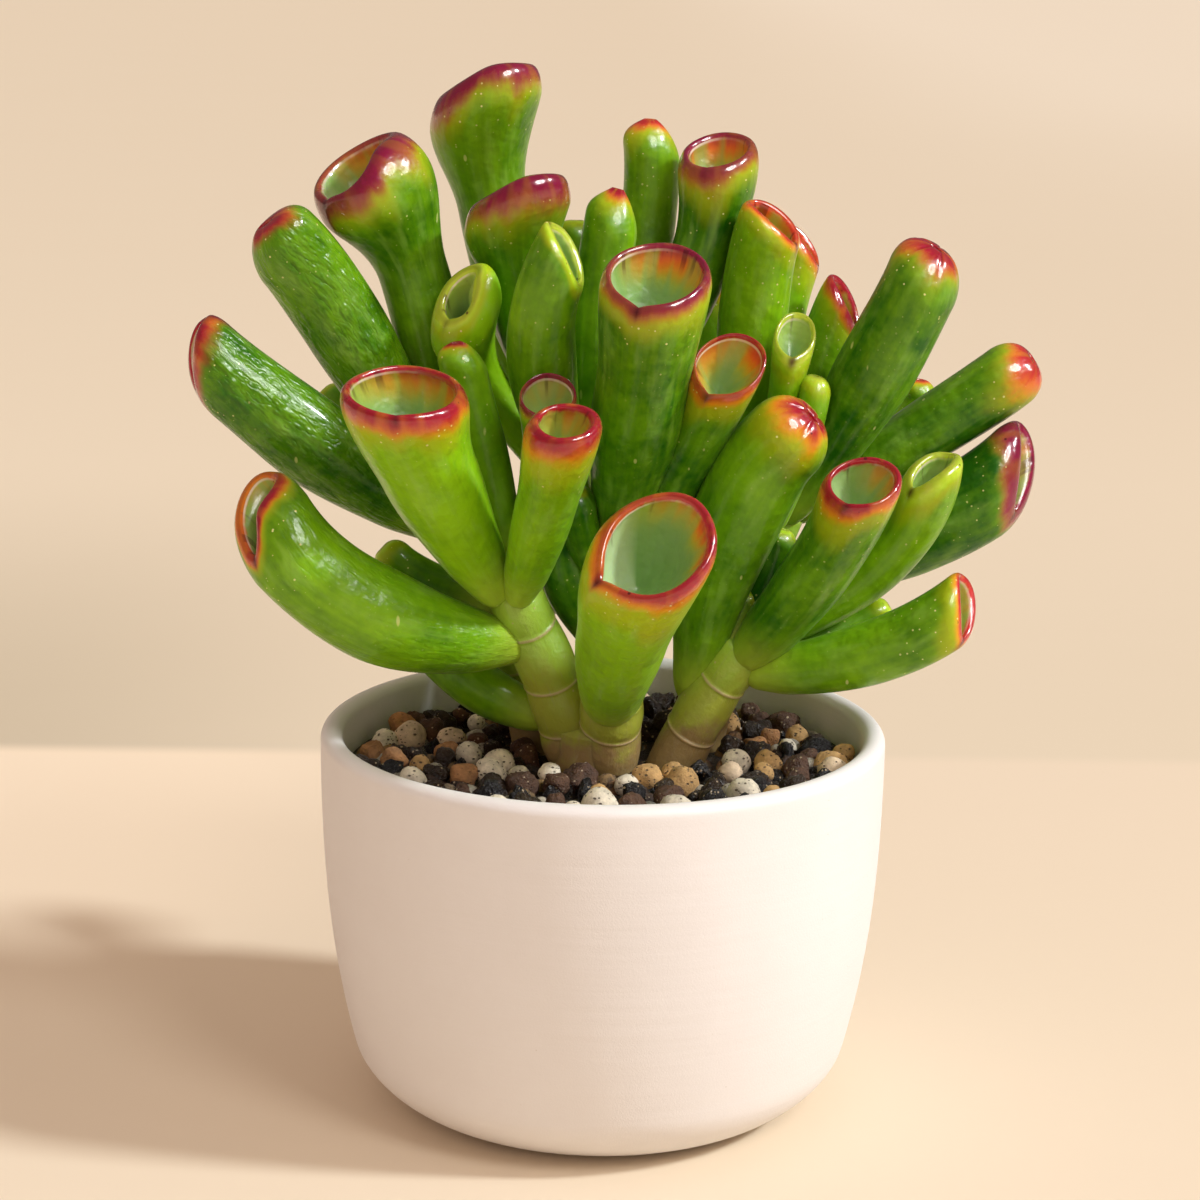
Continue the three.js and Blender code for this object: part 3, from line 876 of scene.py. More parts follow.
@dataclass(frozen=True)
class SoilFinish:
    """Loose pumice, baked clay and lava, coloured by each grain's kind and its tone, which holds painted
    shade in the gaps.

    Args:
        scale: the kinds' colours, each with the place on the scale where it starts.
        pore: dark pores of the pale kinds.
        dust: pale grit on the dark kinds.
        relief: depth of the grains' roughness, in millimetres.
    """

    scale: tuple[tuple[float, Colour], ...] = (
        (0.00, (0.72, 0.635, 0.50)),
        (0.125, (0.66, 0.50, 0.34)),
        (0.275, (0.54, 0.32, 0.12)),
        (0.425, (0.42, 0.20, 0.075)),
        (0.575, (0.112, 0.047, 0.020)),
        (0.725, (0.038, 0.020, 0.010)),
        (0.875, (0.014, 0.010, 0.011)),
    )
    pore: Colour = (0.10, 0.075, 0.045)
    dust: Colour = (0.60, 0.46, 0.30)
    relief: float = 0.55

    FLAT = (1.0, 1.0, 1.6)

    def material(self, speckles: Tree, mottle: Tree) -> Material:
        """The soil material.

        Args:
            speckles: node group of dots.
            mottle: node group of uneven tone.

        Returns:
            A material that reads each grain's own attributes.
        """
        sheet, shader, material = finish_sheet("soil_grains")
        place = sheet.millimetres()
        kind = sheet.attribute("kind")
        ramp = sheet.run("ShaderNodeValToRGB", kind)
        ramp.color_ramp.interpolation = "CONSTANT"
        stops = ramp.color_ramp.elements
        for index, (start, colour) in enumerate(self.scale):
            stop = stops[index] if index < 2 else stops.new(start)
            stop.position = start
            stop.color = (*colour, 1.0)
        patches = sheet.group(mottle, vector=place, patch=1.7, contrast=1.4)
        # A grain's tone: random, and darker for the lower layer and the bed as painted shade between the top
        # grains.
        tone = sheet.plus(sheet.times(sheet.attribute("shade"), 0.8), sheet.times(patches, 0.6))
        grey = sheet.run("ShaderNodeCombineColor", tone, tone, tone)
        colour = sheet.mix(1.0, ramp.outputs[0], grey.outputs[0], blend="MULTIPLY")
        flat = sheet.stretch(place, self.FLAT)
        pores = sheet.group(speckles, vector=flat, pitch=0.72, radius=0.25, share=0.62)
        colour = sheet.mix(sheet.times(pores, sheet.step(kind, 0.55, 0.40, 0.0, 0.9)), colour, self.pore)
        grit = sheet.group(speckles, vector=place, pitch=0.55, radius=0.20, share=0.22)
        colour = sheet.mix(sheet.times(grit, sheet.step(kind, 0.55, 0.62, 0.0, 0.85)), colour, self.dust)
        rough = sheet.times(sheet.noise(place, 1.1, 4.0, 0.72), sheet.step(kind, 0.2, 0.8, 0.35, 1.9))
        sheet.fill(shader, {
            "Base Color": colour, "Roughness": sheet.step(kind, 0.5, 0.8, 0.85, 0.30),
            "Normal": sheet.bump(sheet.less(rough, sheet.times(pores, 0.5)), self.relief),
            "Specular IOR Level": 0.30,
        })
        return material


# ---- the plant


@dataclass(frozen=True)
class TipForm:
    """Shape of a leaf's end.

    Args:
        gape: the opening's half-axes as shares of the mouth's own.
        rise: height of the lip's crown over half its thickness.
        sink: how far the leaf's widest ring lies under the mouth's plane, in mouth radii.
        depth: depth of the cup in mouth radii.
        flat: the leaf's thickness as a share of its width.
        oblique: degrees between the mouth's axis and the leaf's own, at most.
        dome: height of a closed tip in mouth radii, or 0 for an open one.
    """

    gape: Pair
    rise: float
    sink: float
    depth: float
    flat: float
    oblique: float
    dome: float = 0.0


TIP_FORMS = {
    Tip.TRUMPET: TipForm((0.80, 0.80), 1.3, 0.15, 1.2, 0.97, 50.0),
    Tip.SLIT: TipForm((0.76, 0.42), 1.3, 0.14, 0.9, 0.92, 36.0),
    Tip.BUD: TipForm((0.36, 0.12), 1.6, 0.26, 0.15, 0.94, 22.0, dome=0.66),
}


@dataclass(frozen=True)
class Stem:
    """A bent round stem.

    Args:
        points: foot, bend and end.
        radii: radius at both ends.
        scars: shares of its length that have a ring scar.
    """

    points: tuple[Point, Point, Point]
    radii: Pair
    scars: tuple[float, ...] = ()

    SIDES = 48
    RINGS = 72
    FACING = (0.2, -1.0, 0.1)
    SCAR_RISE = 0.22
    SCAR_HALF = 0.30
    SCAR_SAG = 0.256
    SCAR_SPAN = (-2.6, 1.6)
    SCAR_RINGS = 25
    LAST_SHARES = (0.97, 0.985)
    SWELL = 0.05
    BULGE = (1.4, 0.7)
    FOOT_CAP = 0.3
    DOME = 0.4

    def shell(self, grow: float = 0.0) -> Shell:
        """The stem's surface.

        Args:
            grow: widens it on every side, to cut its hole in the soil.

        Returns:
            A closed shell with the attributes of the stem finish.
        """
        bend = Bend(*(np.array(p, float) for p in self.points))
        length = bend.length()
        shares = self._shares(length)
        cross = Cross.of(bend, shares, unit(np.array(self.FACING)))
        angle = np.linspace(0, 2 * np.pi, self.SIDES, endpoint=False)
        radius = np.interp(shares, [0, 1], self.radii)[:, None]
        along = shares[:, None] * length + self.SCAR_SAG * radius * np.cos(angle)
        ring = np.zeros_like(along)
        for scar in self.scars:
            ring = np.maximum(ring, np.exp(-(((along - scar * length) / self.SCAR_HALF) ** 2)))
        swell = self._swelling(along / length)
        wide = radius * (1 + self.SWELL * swell) + self.SCAR_RISE * ring + grow
        cosine, sine = np.cos(angle)[None, :, None], np.sin(angle)[None, :, None]
        spokes = cross.across[:, None] * cosine + cross.beside[:, None] * sine
        points = cross.centre[:, None] + wide[..., None] * spokes
        last = cross.centre[-1] + cross.tangent[-1] * self.radii[1] * self.DOME
        shell = Shell.over(cross.centre[0] - cross.tangent[0] * (self.FOOT_CAP + grow), points, last)
        way = np.stack([radius * np.cos(angle), radius * np.sin(angle), along], -1)
        shell.values["ring"] = capped(ring[..., None])[:, 0]
        shell.values["way"] = capped(way)
        shell.material = 1
        return shell

    def _shares(self, length: float) -> Array:
        """Shares that have a ring of points.

        Args:
            length: the stem's length.

        Returns:
            Rising shares, even, and close together at the scars.
        """
        even = np.linspace(0, self.LAST_SHARES[0], self.RINGS)
        near = [scar + np.linspace(*self.SCAR_SPAN, self.SCAR_RINGS) / length for scar in self.scars]
        return np.unique(np.clip(np.concatenate([even, *near]), 0, self.LAST_SHARES[1]).round(5))

    def _swelling(self, share: Array) -> Array:
        """How far the stem bulges between two scars.

        Args:
            share: shares of its length.

        Returns:
            From below 0 at a scar to above 0 halfway between two.
        """
        stops = np.array([0.0, *self.scars, 1.0])
        index = np.clip(np.searchsorted(stops, share) - 1, 0, len(stops) - 2)
        inside = (share - stops[index]) / (stops[index + 1] - stops[index])
        return np.sin(np.pi * np.clip(inside, 0, 1)) * self.BULGE[0] - self.BULGE[1]


@dataclass(frozen=True)
class Mouth:
    """A leaf's end.

    Args:
        leaf: the leaf.
        form: shape of the tip.
        share: share of the centreline where the leaf is widest, just under the lip.
        end: frame at the middle of the mouth's plane.
        size: radius of the mouth, in millimetres.
        angle: angle of each side of a ring.
        away: angle between each side and the notch.
        tear: strength of the notch at each side.
        dip: how far the notch sinks the lip at each side, in millimetres.
        slopes: slopes of the mouth's plane along the end's two cross directions.
        seed: sets the leaf's small irregularities.
    """

    leaf: "Leaf"
    form: TipForm
    share: float
    end: Cross
    size: float
    angle: Array
    away: Array
    tear: Array
    dip: Array
    slopes: Pair
    seed: int

    LIP_RINGS = 18
    CUP_RINGS = 18
    WOBBLE = 0.019
    CROWN = 0.66
    TEAR_GAIN = 0.17
    TEAR_SWELL = 0.02
    CUP_ROUND = 0.35
    PIT = 0.6
    DOME_END = 0.995
    DOME_TILT = 0.2
    CREASE = (0.085, 0.16)

    @property
    def pit(self) -> Pair:
        """Half-axes of the pit in a closed tip, as shares of the mouth's radius."""
        return self.form.gape[0] * self.PIT, self.form.gape[1] * self.PIT

    def wobble(self, share: Array | float) -> Array:
        """A factor near 1 that makes the leaf uneven.

        Args:
            share: shares of the leaf's length.

        Returns:
            A factor for each share and side.
        """
        draw = np.random.default_rng(self.seed + 7).uniform(0, 2 * np.pi, 4)
        share = np.asarray(share, float).reshape(-1, 1)
        waves = np.sin(2 * self.angle + draw[0] + 2.5 * share)
        waves = waves + 0.7 * np.sin(3 * self.angle + draw[1] - 3.0 * share)
        waves = waves + 0.8 * np.sin(7.5 * share + draw[2]) + 0.4 * np.sin(5 * self.angle + draw[3])
        return 1.0 + self.WOBBLE * waves

    def place(self, cross: Cross, long: Array, short: Array, lift: Array, tilt: Array) -> Array:
        """Points of some rings.

        Args:
            cross: frames of the rings, or one frame for all.
            long, short: half-axes, (rings, sides).
            lift: how far along the tangent each point stands, before the mouth's slant.
            tilt: how much of the slant each ring has.

        Returns:
            (rings, sides, 3) points.
        """
        a, b = long * np.cos(self.angle), short * np.sin(self.angle)
        lift = lift + tilt * (self.slopes[0] * a + self.slopes[1] * b)
        return (cross.centre[:, None] + a[..., None] * cross.across[:, None]
                + b[..., None] * cross.beside[:, None] + lift[..., None] * cross.tangent[:, None])

    def opening(self) -> tuple[Array, Array]:
        """The opening's half-axes.

        Returns:
            Both at each side, as shares of the mouth's radius.
        """
        wide, narrow = self.form.gape
        roll = np.maximum(0, np.cos(self.angle - math.radians(self.leaf.roll[0]))) ** 2 * self.leaf.roll[1]
        long = 1 - (1 - wide) * (1 + roll)
        short = 1 - (1 - narrow) * (1 + roll * (1 - wide) / (1 - narrow))
        gain = 1 + self.TEAR_GAIN * (1 / wide - 1) * self.tear
        return long * gain, short * gain * self.form.flat

    def lip(self) -> Array:
        """Rings over the rounded lip: up a broad shoulder to its crown, and down a tighter inner edge.

        Returns:
            (rings, sides, 3) points.
        """
        form = self.form
        turn = np.linspace(0, np.pi / 2, self.LIP_RINGS // 2 + 1)[1:, None]
        swell = 1 + self.TEAR_SWELL * self.tear
        outer = (swell, swell * form.flat)
        thick = [a - b for a, b in zip(outer, self.opening())]
        half = 0.5 * np.hypot(thick[0] * np.cos(self.angle), thick[1] * np.sin(self.angle))
        rise = form.rise * half
        inward = np.vstack([self.CROWN * (1 - np.cos(turn)), self.CROWN + (1 - self.CROWN) * np.sin(turn)])
        up = (rise + form.sink) * np.sin(turn) - form.sink
        over = rise * np.cos(turn)
        lift = np.vstack([up, over]) * self.size - self.dip
        scale = self.wobble(1.0) * self.size
        long = (outer[0] - thick[0] * inward) * scale
        short = (outer[1] - thick[1] * inward) * scale
        return self.place(self.end, long, short, lift, np.ones((1, 1)))

    def cup(self) -> Array:
        """Rings down the inside of an open cup.

        Returns:
            (rings, sides, 3) points from the opening's edge to the bottom.
        """
        turn = np.linspace(0, 1, self.CUP_RINGS + 2)[1:-1, None]
        share = np.cos(turn * np.pi / 2)
        scale = self.wobble(1.0) * self.size * share
        long, short = self.opening()
        fall = self.CUP_ROUND * np.sin(turn * np.pi / 2) + (1 - self.CUP_ROUND) * (1 - share)
        lift = -self.form.depth * self.size * fall - self.dip * share**3
        return self.place(self.end, long * scale, short * scale, lift, share)

    def dome(self) -> Array:
        """Rings over a closed tip, drawn in to its small pit.

        Returns:
            (rings, sides, 3) points.
        """
        form, size = self.form, self.size
        turn = np.linspace(0, 1, self.LIP_RINGS + 1)[1:, None]
        left = np.cos(turn * np.pi / 2 * self.DOME_END)
        long, short = (pit + (1 - pit) * left for pit in self.pit)
        lift = (form.dome + form.sink) * np.sin(turn * np.pi / 2) - form.sink
        lift = size * (lift + self.leaf.point * (1 - left) ** 1.6)
        if self.leaf.creases:
            depth, width = self.CREASE
            spoke = np.abs(np.sin(self.leaf.creases * (self.angle + self.seed) / 2))
            lift = lift - size * depth * np.exp(-spoke / width) * np.sin(np.pi * (1 - left)) ** 0.7
        wobble = 1 + (self.wobble(1.0) - 1) * np.minimum(1, left * 2)
        tilt = left * (1 - self.DOME_TILT) + self.DOME_TILT
        return self.place(self.end, size * long * wobble, size * form.flat * short * wobble, lift, tilt)

    def hole(self) -> Array:
        """Rings down the small pit of a closed tip.

        Returns:
            (rings, sides, 3) points from the pit's edge to its bottom.
        """
        form = self.form
        turn = np.linspace(0, 1, self.CUP_RINGS + 2)[1:-1, None]
        long, short = (self.size * pit * (1 - turn) for pit in self.pit)
        lift = self.size * (form.dome + self.leaf.point - form.depth * np.sin(turn * np.pi / 2) * 0.9)
        tilt = np.full((1, 1), self.DOME_TILT)
        return self.place(self.end, long, short * form.flat, lift + 0 * self.angle, tilt)

    def bottom(self) -> Array:
        """The cup's deepest point, or that of a closed tip's pit."""
        depth = self.form.depth - (self.form.dome + self.leaf.point if self.form.dome else 0.0)
        return self.end.centre[0] - self.end.tangent[0] * depth * self.size


@dataclass(frozen=True)
class Leaf:
    """A tube-shaped leaf.

    Args:
        tip: how it ends.
        root, middle, mouth: points of its centreline.
        radii: radius at root, belly and mouth.
        facing: compass angle and angle above the horizon of its mouth.
        blush: colour of its rim.
        reach: how far the blush spreads, 1 for the usual.
        tone: from 0, deep green, to 1, yellow-green.
        wrinkle: from 0, taut, to 1, shrivelled.
        point: how far a closed tip is drawn out, in mouth radii.
        creases: number of creases that run out from a closed tip's middle.
        flare: share of the length at which it starts to widen to the mouth.
        notch: degrees round the mouth from its facing side to the notch, and the notch's strength.
        roll: degrees round the mouth to where the lip is rolled in, and how much thicker it is there.
        lip: thickness of the lip, 1 for the usual.
        shoulder: height of the lip's outer rounding, 1 for the usual.
        heat: degrees round the mouth to where its inside is reddest, and how red it is there and opposite.
        line: degrees round the mouth to where the painted highlight on the inner edge is strongest, and its
        strength there and opposite.
        fade: degrees round the mouth to where the blush turns to its glow, and by how much.
        spread: how far the glow reaches under the blush, 1 for the usual.
    """

    tip: Tip
    root: Point
    middle: Point
    mouth: Point
    radii: Triple
    facing: Pair
    blush: Blush = Blush.CRIMSON
    reach: float = 1.0
    tone: float = 0.45
    wrinkle: float = 0.0
    point: float = 0.0
    creases: int = 0
    flare: float = 0.55
    notch: Pair = (0.0, 1.0)
    roll: Pair = (0.0, 0.0)
    lip: float = 1.0
    shoulder: float = 1.0
    heat: Triple = (135.0, 0.95, 0.25)
    line: Triple = (-90.0, 0.8, 0.0)
    fade: Pair = (0.0, 0.0)
    spread: float = 1.0

    SIDES = 64
    BODY_RINGS = 44
    ROOT_CAP = 0.07
    ROOT_DROP = 0.2
    ROOT_NECK = (0.20, 0.74)
    BELLY = (-0.08, 0.58)
    FLARE_END = 1.02
    TILT = (0.45, 1.0)
    NOTCH_DIP = (0.012, 0.022)
    TEAR_WIDTH = 0.17
    MARK_HALF = (0.7, 1.3)
    MARK_DEEP = 0.7
    FOLDS_START = (2.0, 6.0)
    FADE_SHORTER = 0.35

    def shell(self, seed: int) -> Shell:
        """The leaf's surface: up its outside, over the lip and down into the cup.

        Args:
            seed: sets the leaf's small irregularities.

        Returns:
            A closed shell with the attributes of the leaf finish.
        """
        bend = Bend.through(self.root, self.middle, self.mouth)
        mouth = self._mouth(bend, seed)
        shares = self._body_shares()
        cross = Cross.of(bend, shares * mouth.share, direction(self.facing[0], 0.0))
        body = self._body(shares, cross, mouth)
        if mouth.form.dome:
            crown, tip = mouth.LIP_RINGS - 1, [mouth.dome(), mouth.hole()]
        else:
            crown, tip = mouth.LIP_RINGS // 2 - 1, [mouth.lip(), mouth.cup()]
        rings = np.concatenate([body, *tip])
        first = bend.at(np.array([0.0]))[0] - cross.tangent[0] * self.ROOT_DROP
        shell = Shell.over(first, rings, mouth.bottom())
        steps = np.linalg.norm(np.diff(rings, axis=0), axis=2)
        far = np.vstack([np.zeros(self.SIDES), np.cumsum(steps, axis=0)])
        shell.values.update(self._traits(mouth, far, far[len(body) + crown] - far))
        return shell

    def _traits(self, mouth: Mouth, far: Array, rim: Array) -> dict[str, Array]:
        """The attributes of the leaf finish.

        Args:
            mouth: the leaf's mouth.
            far: way from the root to each point over the surface, in millimetres.
            rim: way from each point up to the lip's crown, below 0 in the cup.

        Returns:
            A value for each point of the shell, by the attributes' names.
        """
        x, y = (np.broadcast_to(mouth.size * turn(mouth.angle), far.shape) for turn in (np.cos, np.sin))
        way = np.stack([x, y, far], -1) + np.random.default_rng(mouth.seed).uniform(0, 90, 3)
        mark = np.exp(-((mouth.away * mouth.size / self.MARK_HALF[0]) ** 2))
        mark = mark * np.exp(-(((rim - self.MARK_DEEP) / self.MARK_HALF[1]) ** 2))
        mark = mark * (0.0 if mouth.form.dome else min(1.0, self.notch[1]))
        wrinkle = self.wrinkle * smooth(rim, *self.FOLDS_START)
        turned = (self._turned(mouth.angle, *trait) for trait in (self.heat, self.line, (*self.fade, 0.0)))
        heat, line, fade = (np.broadcast_to(value, far.shape) for value in turned)
        heat = heat * (0.0 if self.blush is Blush.YELLOW else 1.0)
        rich, warm = (np.array(colour) for colour in self.blush.value)
        share = capped(fade[..., None])
        tint = rich * (1 - share) + warm * share
        return {
            "rim": capped(rim[..., None])[:, 0],
            "root": capped(far[..., None])[:, 0],
            "way": capped(way),
            # Strength of the painted highlight on the cup's inner edge, and the glow's spread.
            "sides": capped(np.stack([line, np.full_like(rim, self.spread), 0 * rim], -1)),
            "traits": capped(np.stack([wrinkle, mark, heat], -1)),
            "blush": np.hstack([tint, self.reach * (1 - self.FADE_SHORTER * share)]),
            "glow": np.tile([*warm, self.tone], (len(share), 1)),
        }

    @staticmethod
    def _turned(angle: Array, toward: float, most: float, least: float) -> Array:
        """A value that is `most` on the side `toward`, in degrees, and `least` opposite."""
        share = (0.5 + 0.5 * np.cos(angle - math.radians(toward))) ** 1.5
        return least + (most - least) * share

    def _form(self) -> TipForm:
        """The tip's form.

        Returns:
            The usual form of such a tip, with this leaf's own lip.
        """
        form = TIP_FORMS[self.tip]
        gape = tuple(1 - (1 - share) * self.lip for share in form.gape)
        return replace(form, gape=gape, sink=form.sink * self.shoulder)

    def _mouth(self, bend: Bend, seed: int) -> Mouth:
        """The leaf's mouth.

        Args:
            bend: the leaf's centreline.
            seed: sets the leaf's small irregularities.

        Returns:
            What makes its rings.
        """
        form, size = self._form(), self.radii[2]
        angle = np.linspace(0, 2 * np.pi, self.SIDES, endpoint=False)
        away = np.abs((angle - math.radians(self.notch[0]) + np.pi) % (2 * np.pi) - np.pi)
        torn = 0.0 if form.dome else self.notch[1]
        tear = np.exp(-away / self.TEAR_WIDTH) * torn
        wide_dip = self.NOTCH_DIP[0] * np.maximum(0, np.cos(away)) ** 4
        dip = size * (wide_dip + self.NOTCH_DIP[1] * tear) * torn
        share = 1 - form.sink * size / bend.length()
        end = Cross.of(bend, np.array([share]), direction(self.facing[0], 0.0))
        end = replace(end, centre=end.centre + end.tangent * form.sink * size)
        slopes = self._slopes(end, form.oblique)
        return Mouth(self, form, share, end, size, angle, away, tear, dip, slopes, seed)

    def _slopes(self, end: Cross, most: float) -> Pair:
        """Slopes of the mouth's plane.

        Args:
            end: frame at the middle of the mouth.
            most: steepest slant, in degrees.

        Returns:
            The slopes along the frame's two cross directions.
        """
        axis, tangent = direction(*self.facing), end.tangent[0]
        sideways = unit(axis - axis @ tangent * tangent)
        oblique = min(math.acos(float(np.clip(axis @ tangent, -1, 1))), math.radians(most))
        slope = -math.tan(oblique)
        return slope * float(sideways @ end.across[0]), slope * float(sideways @ end.beside[0])

    def _body_shares(self) -> Array:
        """Shares of the body's length that have a ring, close together at both ends."""
        even = np.linspace(0.0, 1.0, self.BODY_RINGS + 1)[1:]
        return 0.5 * (even + smooth(even, 0.0, 1.0))

    def _radius(self, share: Array) -> Array:
        """The leaf's radius: a narrow root, a belly and a flare to the mouth.

        Args:
            share: shares of the body's length.

        Returns:
            The radius at each share, in millimetres.
        """
        root, belly, mouth = self.radii
        radius = root + (belly - root) * smooth(share, *self.BELLY)
        radius = radius + (mouth - belly) * smooth(share, self.flare, self.FLARE_END)
        cap = np.clip(share / self.ROOT_CAP, 0, 1)
        neck = self.ROOT_NECK[1] + (1 - self.ROOT_NECK[1]) * smooth(share, 0.0, self.ROOT_NECK[0])
        return radius * neck * np.sqrt(1 - (1 - cap) ** 2)

    def _body(self, shares: Array, cross: Cross, mouth: Mouth) -> Array:
        """Rings of the outside.

        Args:
            shares: shares of the body's length.
            cross: frames there.
            mouth: the leaf's mouth.

        Returns:
            (rings, sides, 3) points from the root to the widest ring under the lip.
        """
        tilt = smooth(shares, *self.TILT)[:, None]
        radius = self._radius(shares)[:, None] * mouth.wobble(shares)
        radius = radius * (1 + mouth.TEAR_SWELL * mouth.tear * tilt**3)
        return mouth.place(cross, radius, radius * mouth.form.flat, -mouth.dip * tilt**4, tilt)


trumpet = partial(Leaf, Tip.TRUMPET)
slit = partial(Leaf, Tip.SLIT)
bud = partial(Leaf, Tip.BUD)


def young(root: Point, middle: Point, mouth: Point, radii: Triple,
          facing: Pair, reach: float = 0.5, tone: float = 0.4) -> Leaf:
    """A young leaf with a closed yellow tip.

    Args:
        root, middle, mouth: points of its centreline.
        radii: radius at root, belly and tip.
        facing: compass angle and angle above the horizon of its tip.
        reach: how far the yellow spreads.
        tone: from 0, deep green, to 1, yellow-green.

    Returns:
        The leaf.
    """
    return bud(root, middle, mouth, radii, facing, Blush.YELLOW, reach, tone)


@dataclass(frozen=True)
class LeafyStem:
    """A stem with its branches and leaves, grown together as one piece.

    Args:
        node: the solid that it stands for.
        stems: the stem, and then its branches.
        leaves: its leaves.
    """

    node: str
    stems: tuple[Stem, ...]
    leaves: tuple[Leaf, ...]

    def build(self, seed: int, materials: list[Material]) -> Thing:
        """The piece.

        Args:
            seed: sets the small irregularities of its leaves.
            materials: the leaf and the stem material.

        Returns:
            One object that replaces the node.
        """
        shells = [stem.shell() for stem in self.stems]
        shells += [leaf.shell(seed * 100 + index) for index, leaf in enumerate(self.leaves)]
        piece = mesh_object(self.node.replace("leafy_stem", "living_stem"), shells, materials)
        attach(piece, "root")
        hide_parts(self.node)
        return piece


FRONT_LEFT = LeafyStem(
    "leafy_stem_front_left",
    (
        Stem(((-2.5, -1, 44), (-2, -1, 52), (-1.5, -1.5, 62)), (5.4, 6.8)),
        Stem(((-4, -0.5, 57), (-7, -1, 68), (-15, -3.5, 85)), (5.2, 4.2), (0.22, 0.5, 0.8)),
        Stem(((0.5, -2.5, 56), (0.9, -3.4, 61), (1.5, -6, 67.5)), (5.2, 4.9), (0.66,)),
    ),
    (
        trumpet((-16, -4, 82), (-26, -14, 103), (-30, -21, 117), (3.8, 7.4, 9.9), (275, 75),
                Blush.CRIMSON, 1.0, 0.92, notch=(-12, 0.8), heat=(130, 0.75, -0.05)),
        trumpet((-14, -5, 82), (-9.5, -17, 99), (-6.3, -28, 114.3), (2.8, 4.9, 5.8), (262, 68),
                Blush.CRIMSON, 1.0, 0.8, notch=(0, 0.2), lip=1.8, shoulder=1.7, heat=(120, 0.8, 0.1),
                line=(0, 0.2, 0.0), spread=1.2),
        slit((-11.5, -1.5, 75), (-35, -12, 82), (-51, -15, 96.8), (4.0, 7.8, 7.5), (222, 33),
             Blush.CRIMSON, 0.52, 0.56, wrinkle=0.25, notch=(0, 1.2), roll=(60, 1.2), lip=1.15, shoulder=2.6,
             heat=(180, 0.3, -0.1), fade=(-110, 0.8), spread=0.8),
        young((-7, 1, 62), (-19, 3, 66), (-29, 6, 74), (3, 4.2, 4), (150, 30), tone=0.45),
        young((-14, -1, 79), (-26, 3, 82), (-34, 5, 87), (3, 3.8, 3.4), (180, 40)),
        bud((-14, -2, 84), (-19, -2, 105), (-22.5, -4, 120), (2.5, 3.8, 3.6), (0, 60),
            Blush.CRIMSON, 0.5, 0.6, point=0.25),
        trumpet((-13, -3, 84), (-10, -6, 102), (-9, -13, 116.5), (2.2, 3.2, 4.5), (270, 52),
                Blush.PURPLE, 0.4, 0.35, lip=0.6, notch=(0, 0.0), heat=(180, 0.2, 0.0), line=(80, 1.0, 0.3)),
        trumpet((1, -4, 63), (2.5, -17, 79), (7, -35, 98), (4, 7.2, 9.4), (252, 38),
                Blush.CRIMSON, 0.75, 1.0, notch=(-28, 2.2), roll=(-60, 0.4), lip=1.05, shoulder=1.5,
                heat=(120, 1.1, -0.3), line=(-75, 1.0, -0.1), fade=(-75, 0.4), spread=2.3),
    ),
)

FRONT_RIGHT = LeafyStem(
    "leafy_stem_front_right",
    (Stem(((9, 2, 44), (11, 2, 58), (23, 1, 75)), (4.4, 4.2), (0.55, 0.82)),),
    (
        trumpet((21, 1, 71), (33, -8, 89), (38.5, -17, 104), (4.2, 5.5, 5.9), (255, 55),
                Blush.CRIMSON, 0.85, 0.26, lip=1.2, shoulder=1.5, notch=(-8, 0.8), heat=(95, 0.85, -0.1),
                line=(0, 1.0, 0.2), spread=1.5),
        slit((22, 1, 70), (40.5, -5, 74.5), (55, -8, 83), (3.4, 5.1, 5), (332, 15),
             Blush.SCARLET, 0.30, 0.45, line=(-90, 1.0, 0.3), heat=(90, 0.3, 0.0), spread=2.2),
        slit((22, 2, 74), (43, 1, 87), (50.5, -4, 103.5), (2.6, 4, 4.8), (225, 57),
             Blush.YELLOW, 0.8, 0.6),
        young((20, 2, 71), (35, 5, 75), (44, 6, 79), (2.6, 3, 2.7), (0, 40), tone=0.5),
        young((20, 2, 71), (21.5, 3, 77), (22.5, 3, 81), (3, 3.6, 3.2), (0, 60), 0.4),
        young((18, 2, 69), (25, 3.5, 81), (28, 3, 91), (2.6, 3.2, 2.9), (0, 60), 0.3, 0.1),
        bud((13.5, 3.5, 64), (20, -2, 94), (28, -8, 110), (3.6, 7.1, 6.8), (330, 40),
            Blush.CRIMSON, 1.1, 0.5, creases=5, spread=1.1),
    ),
)

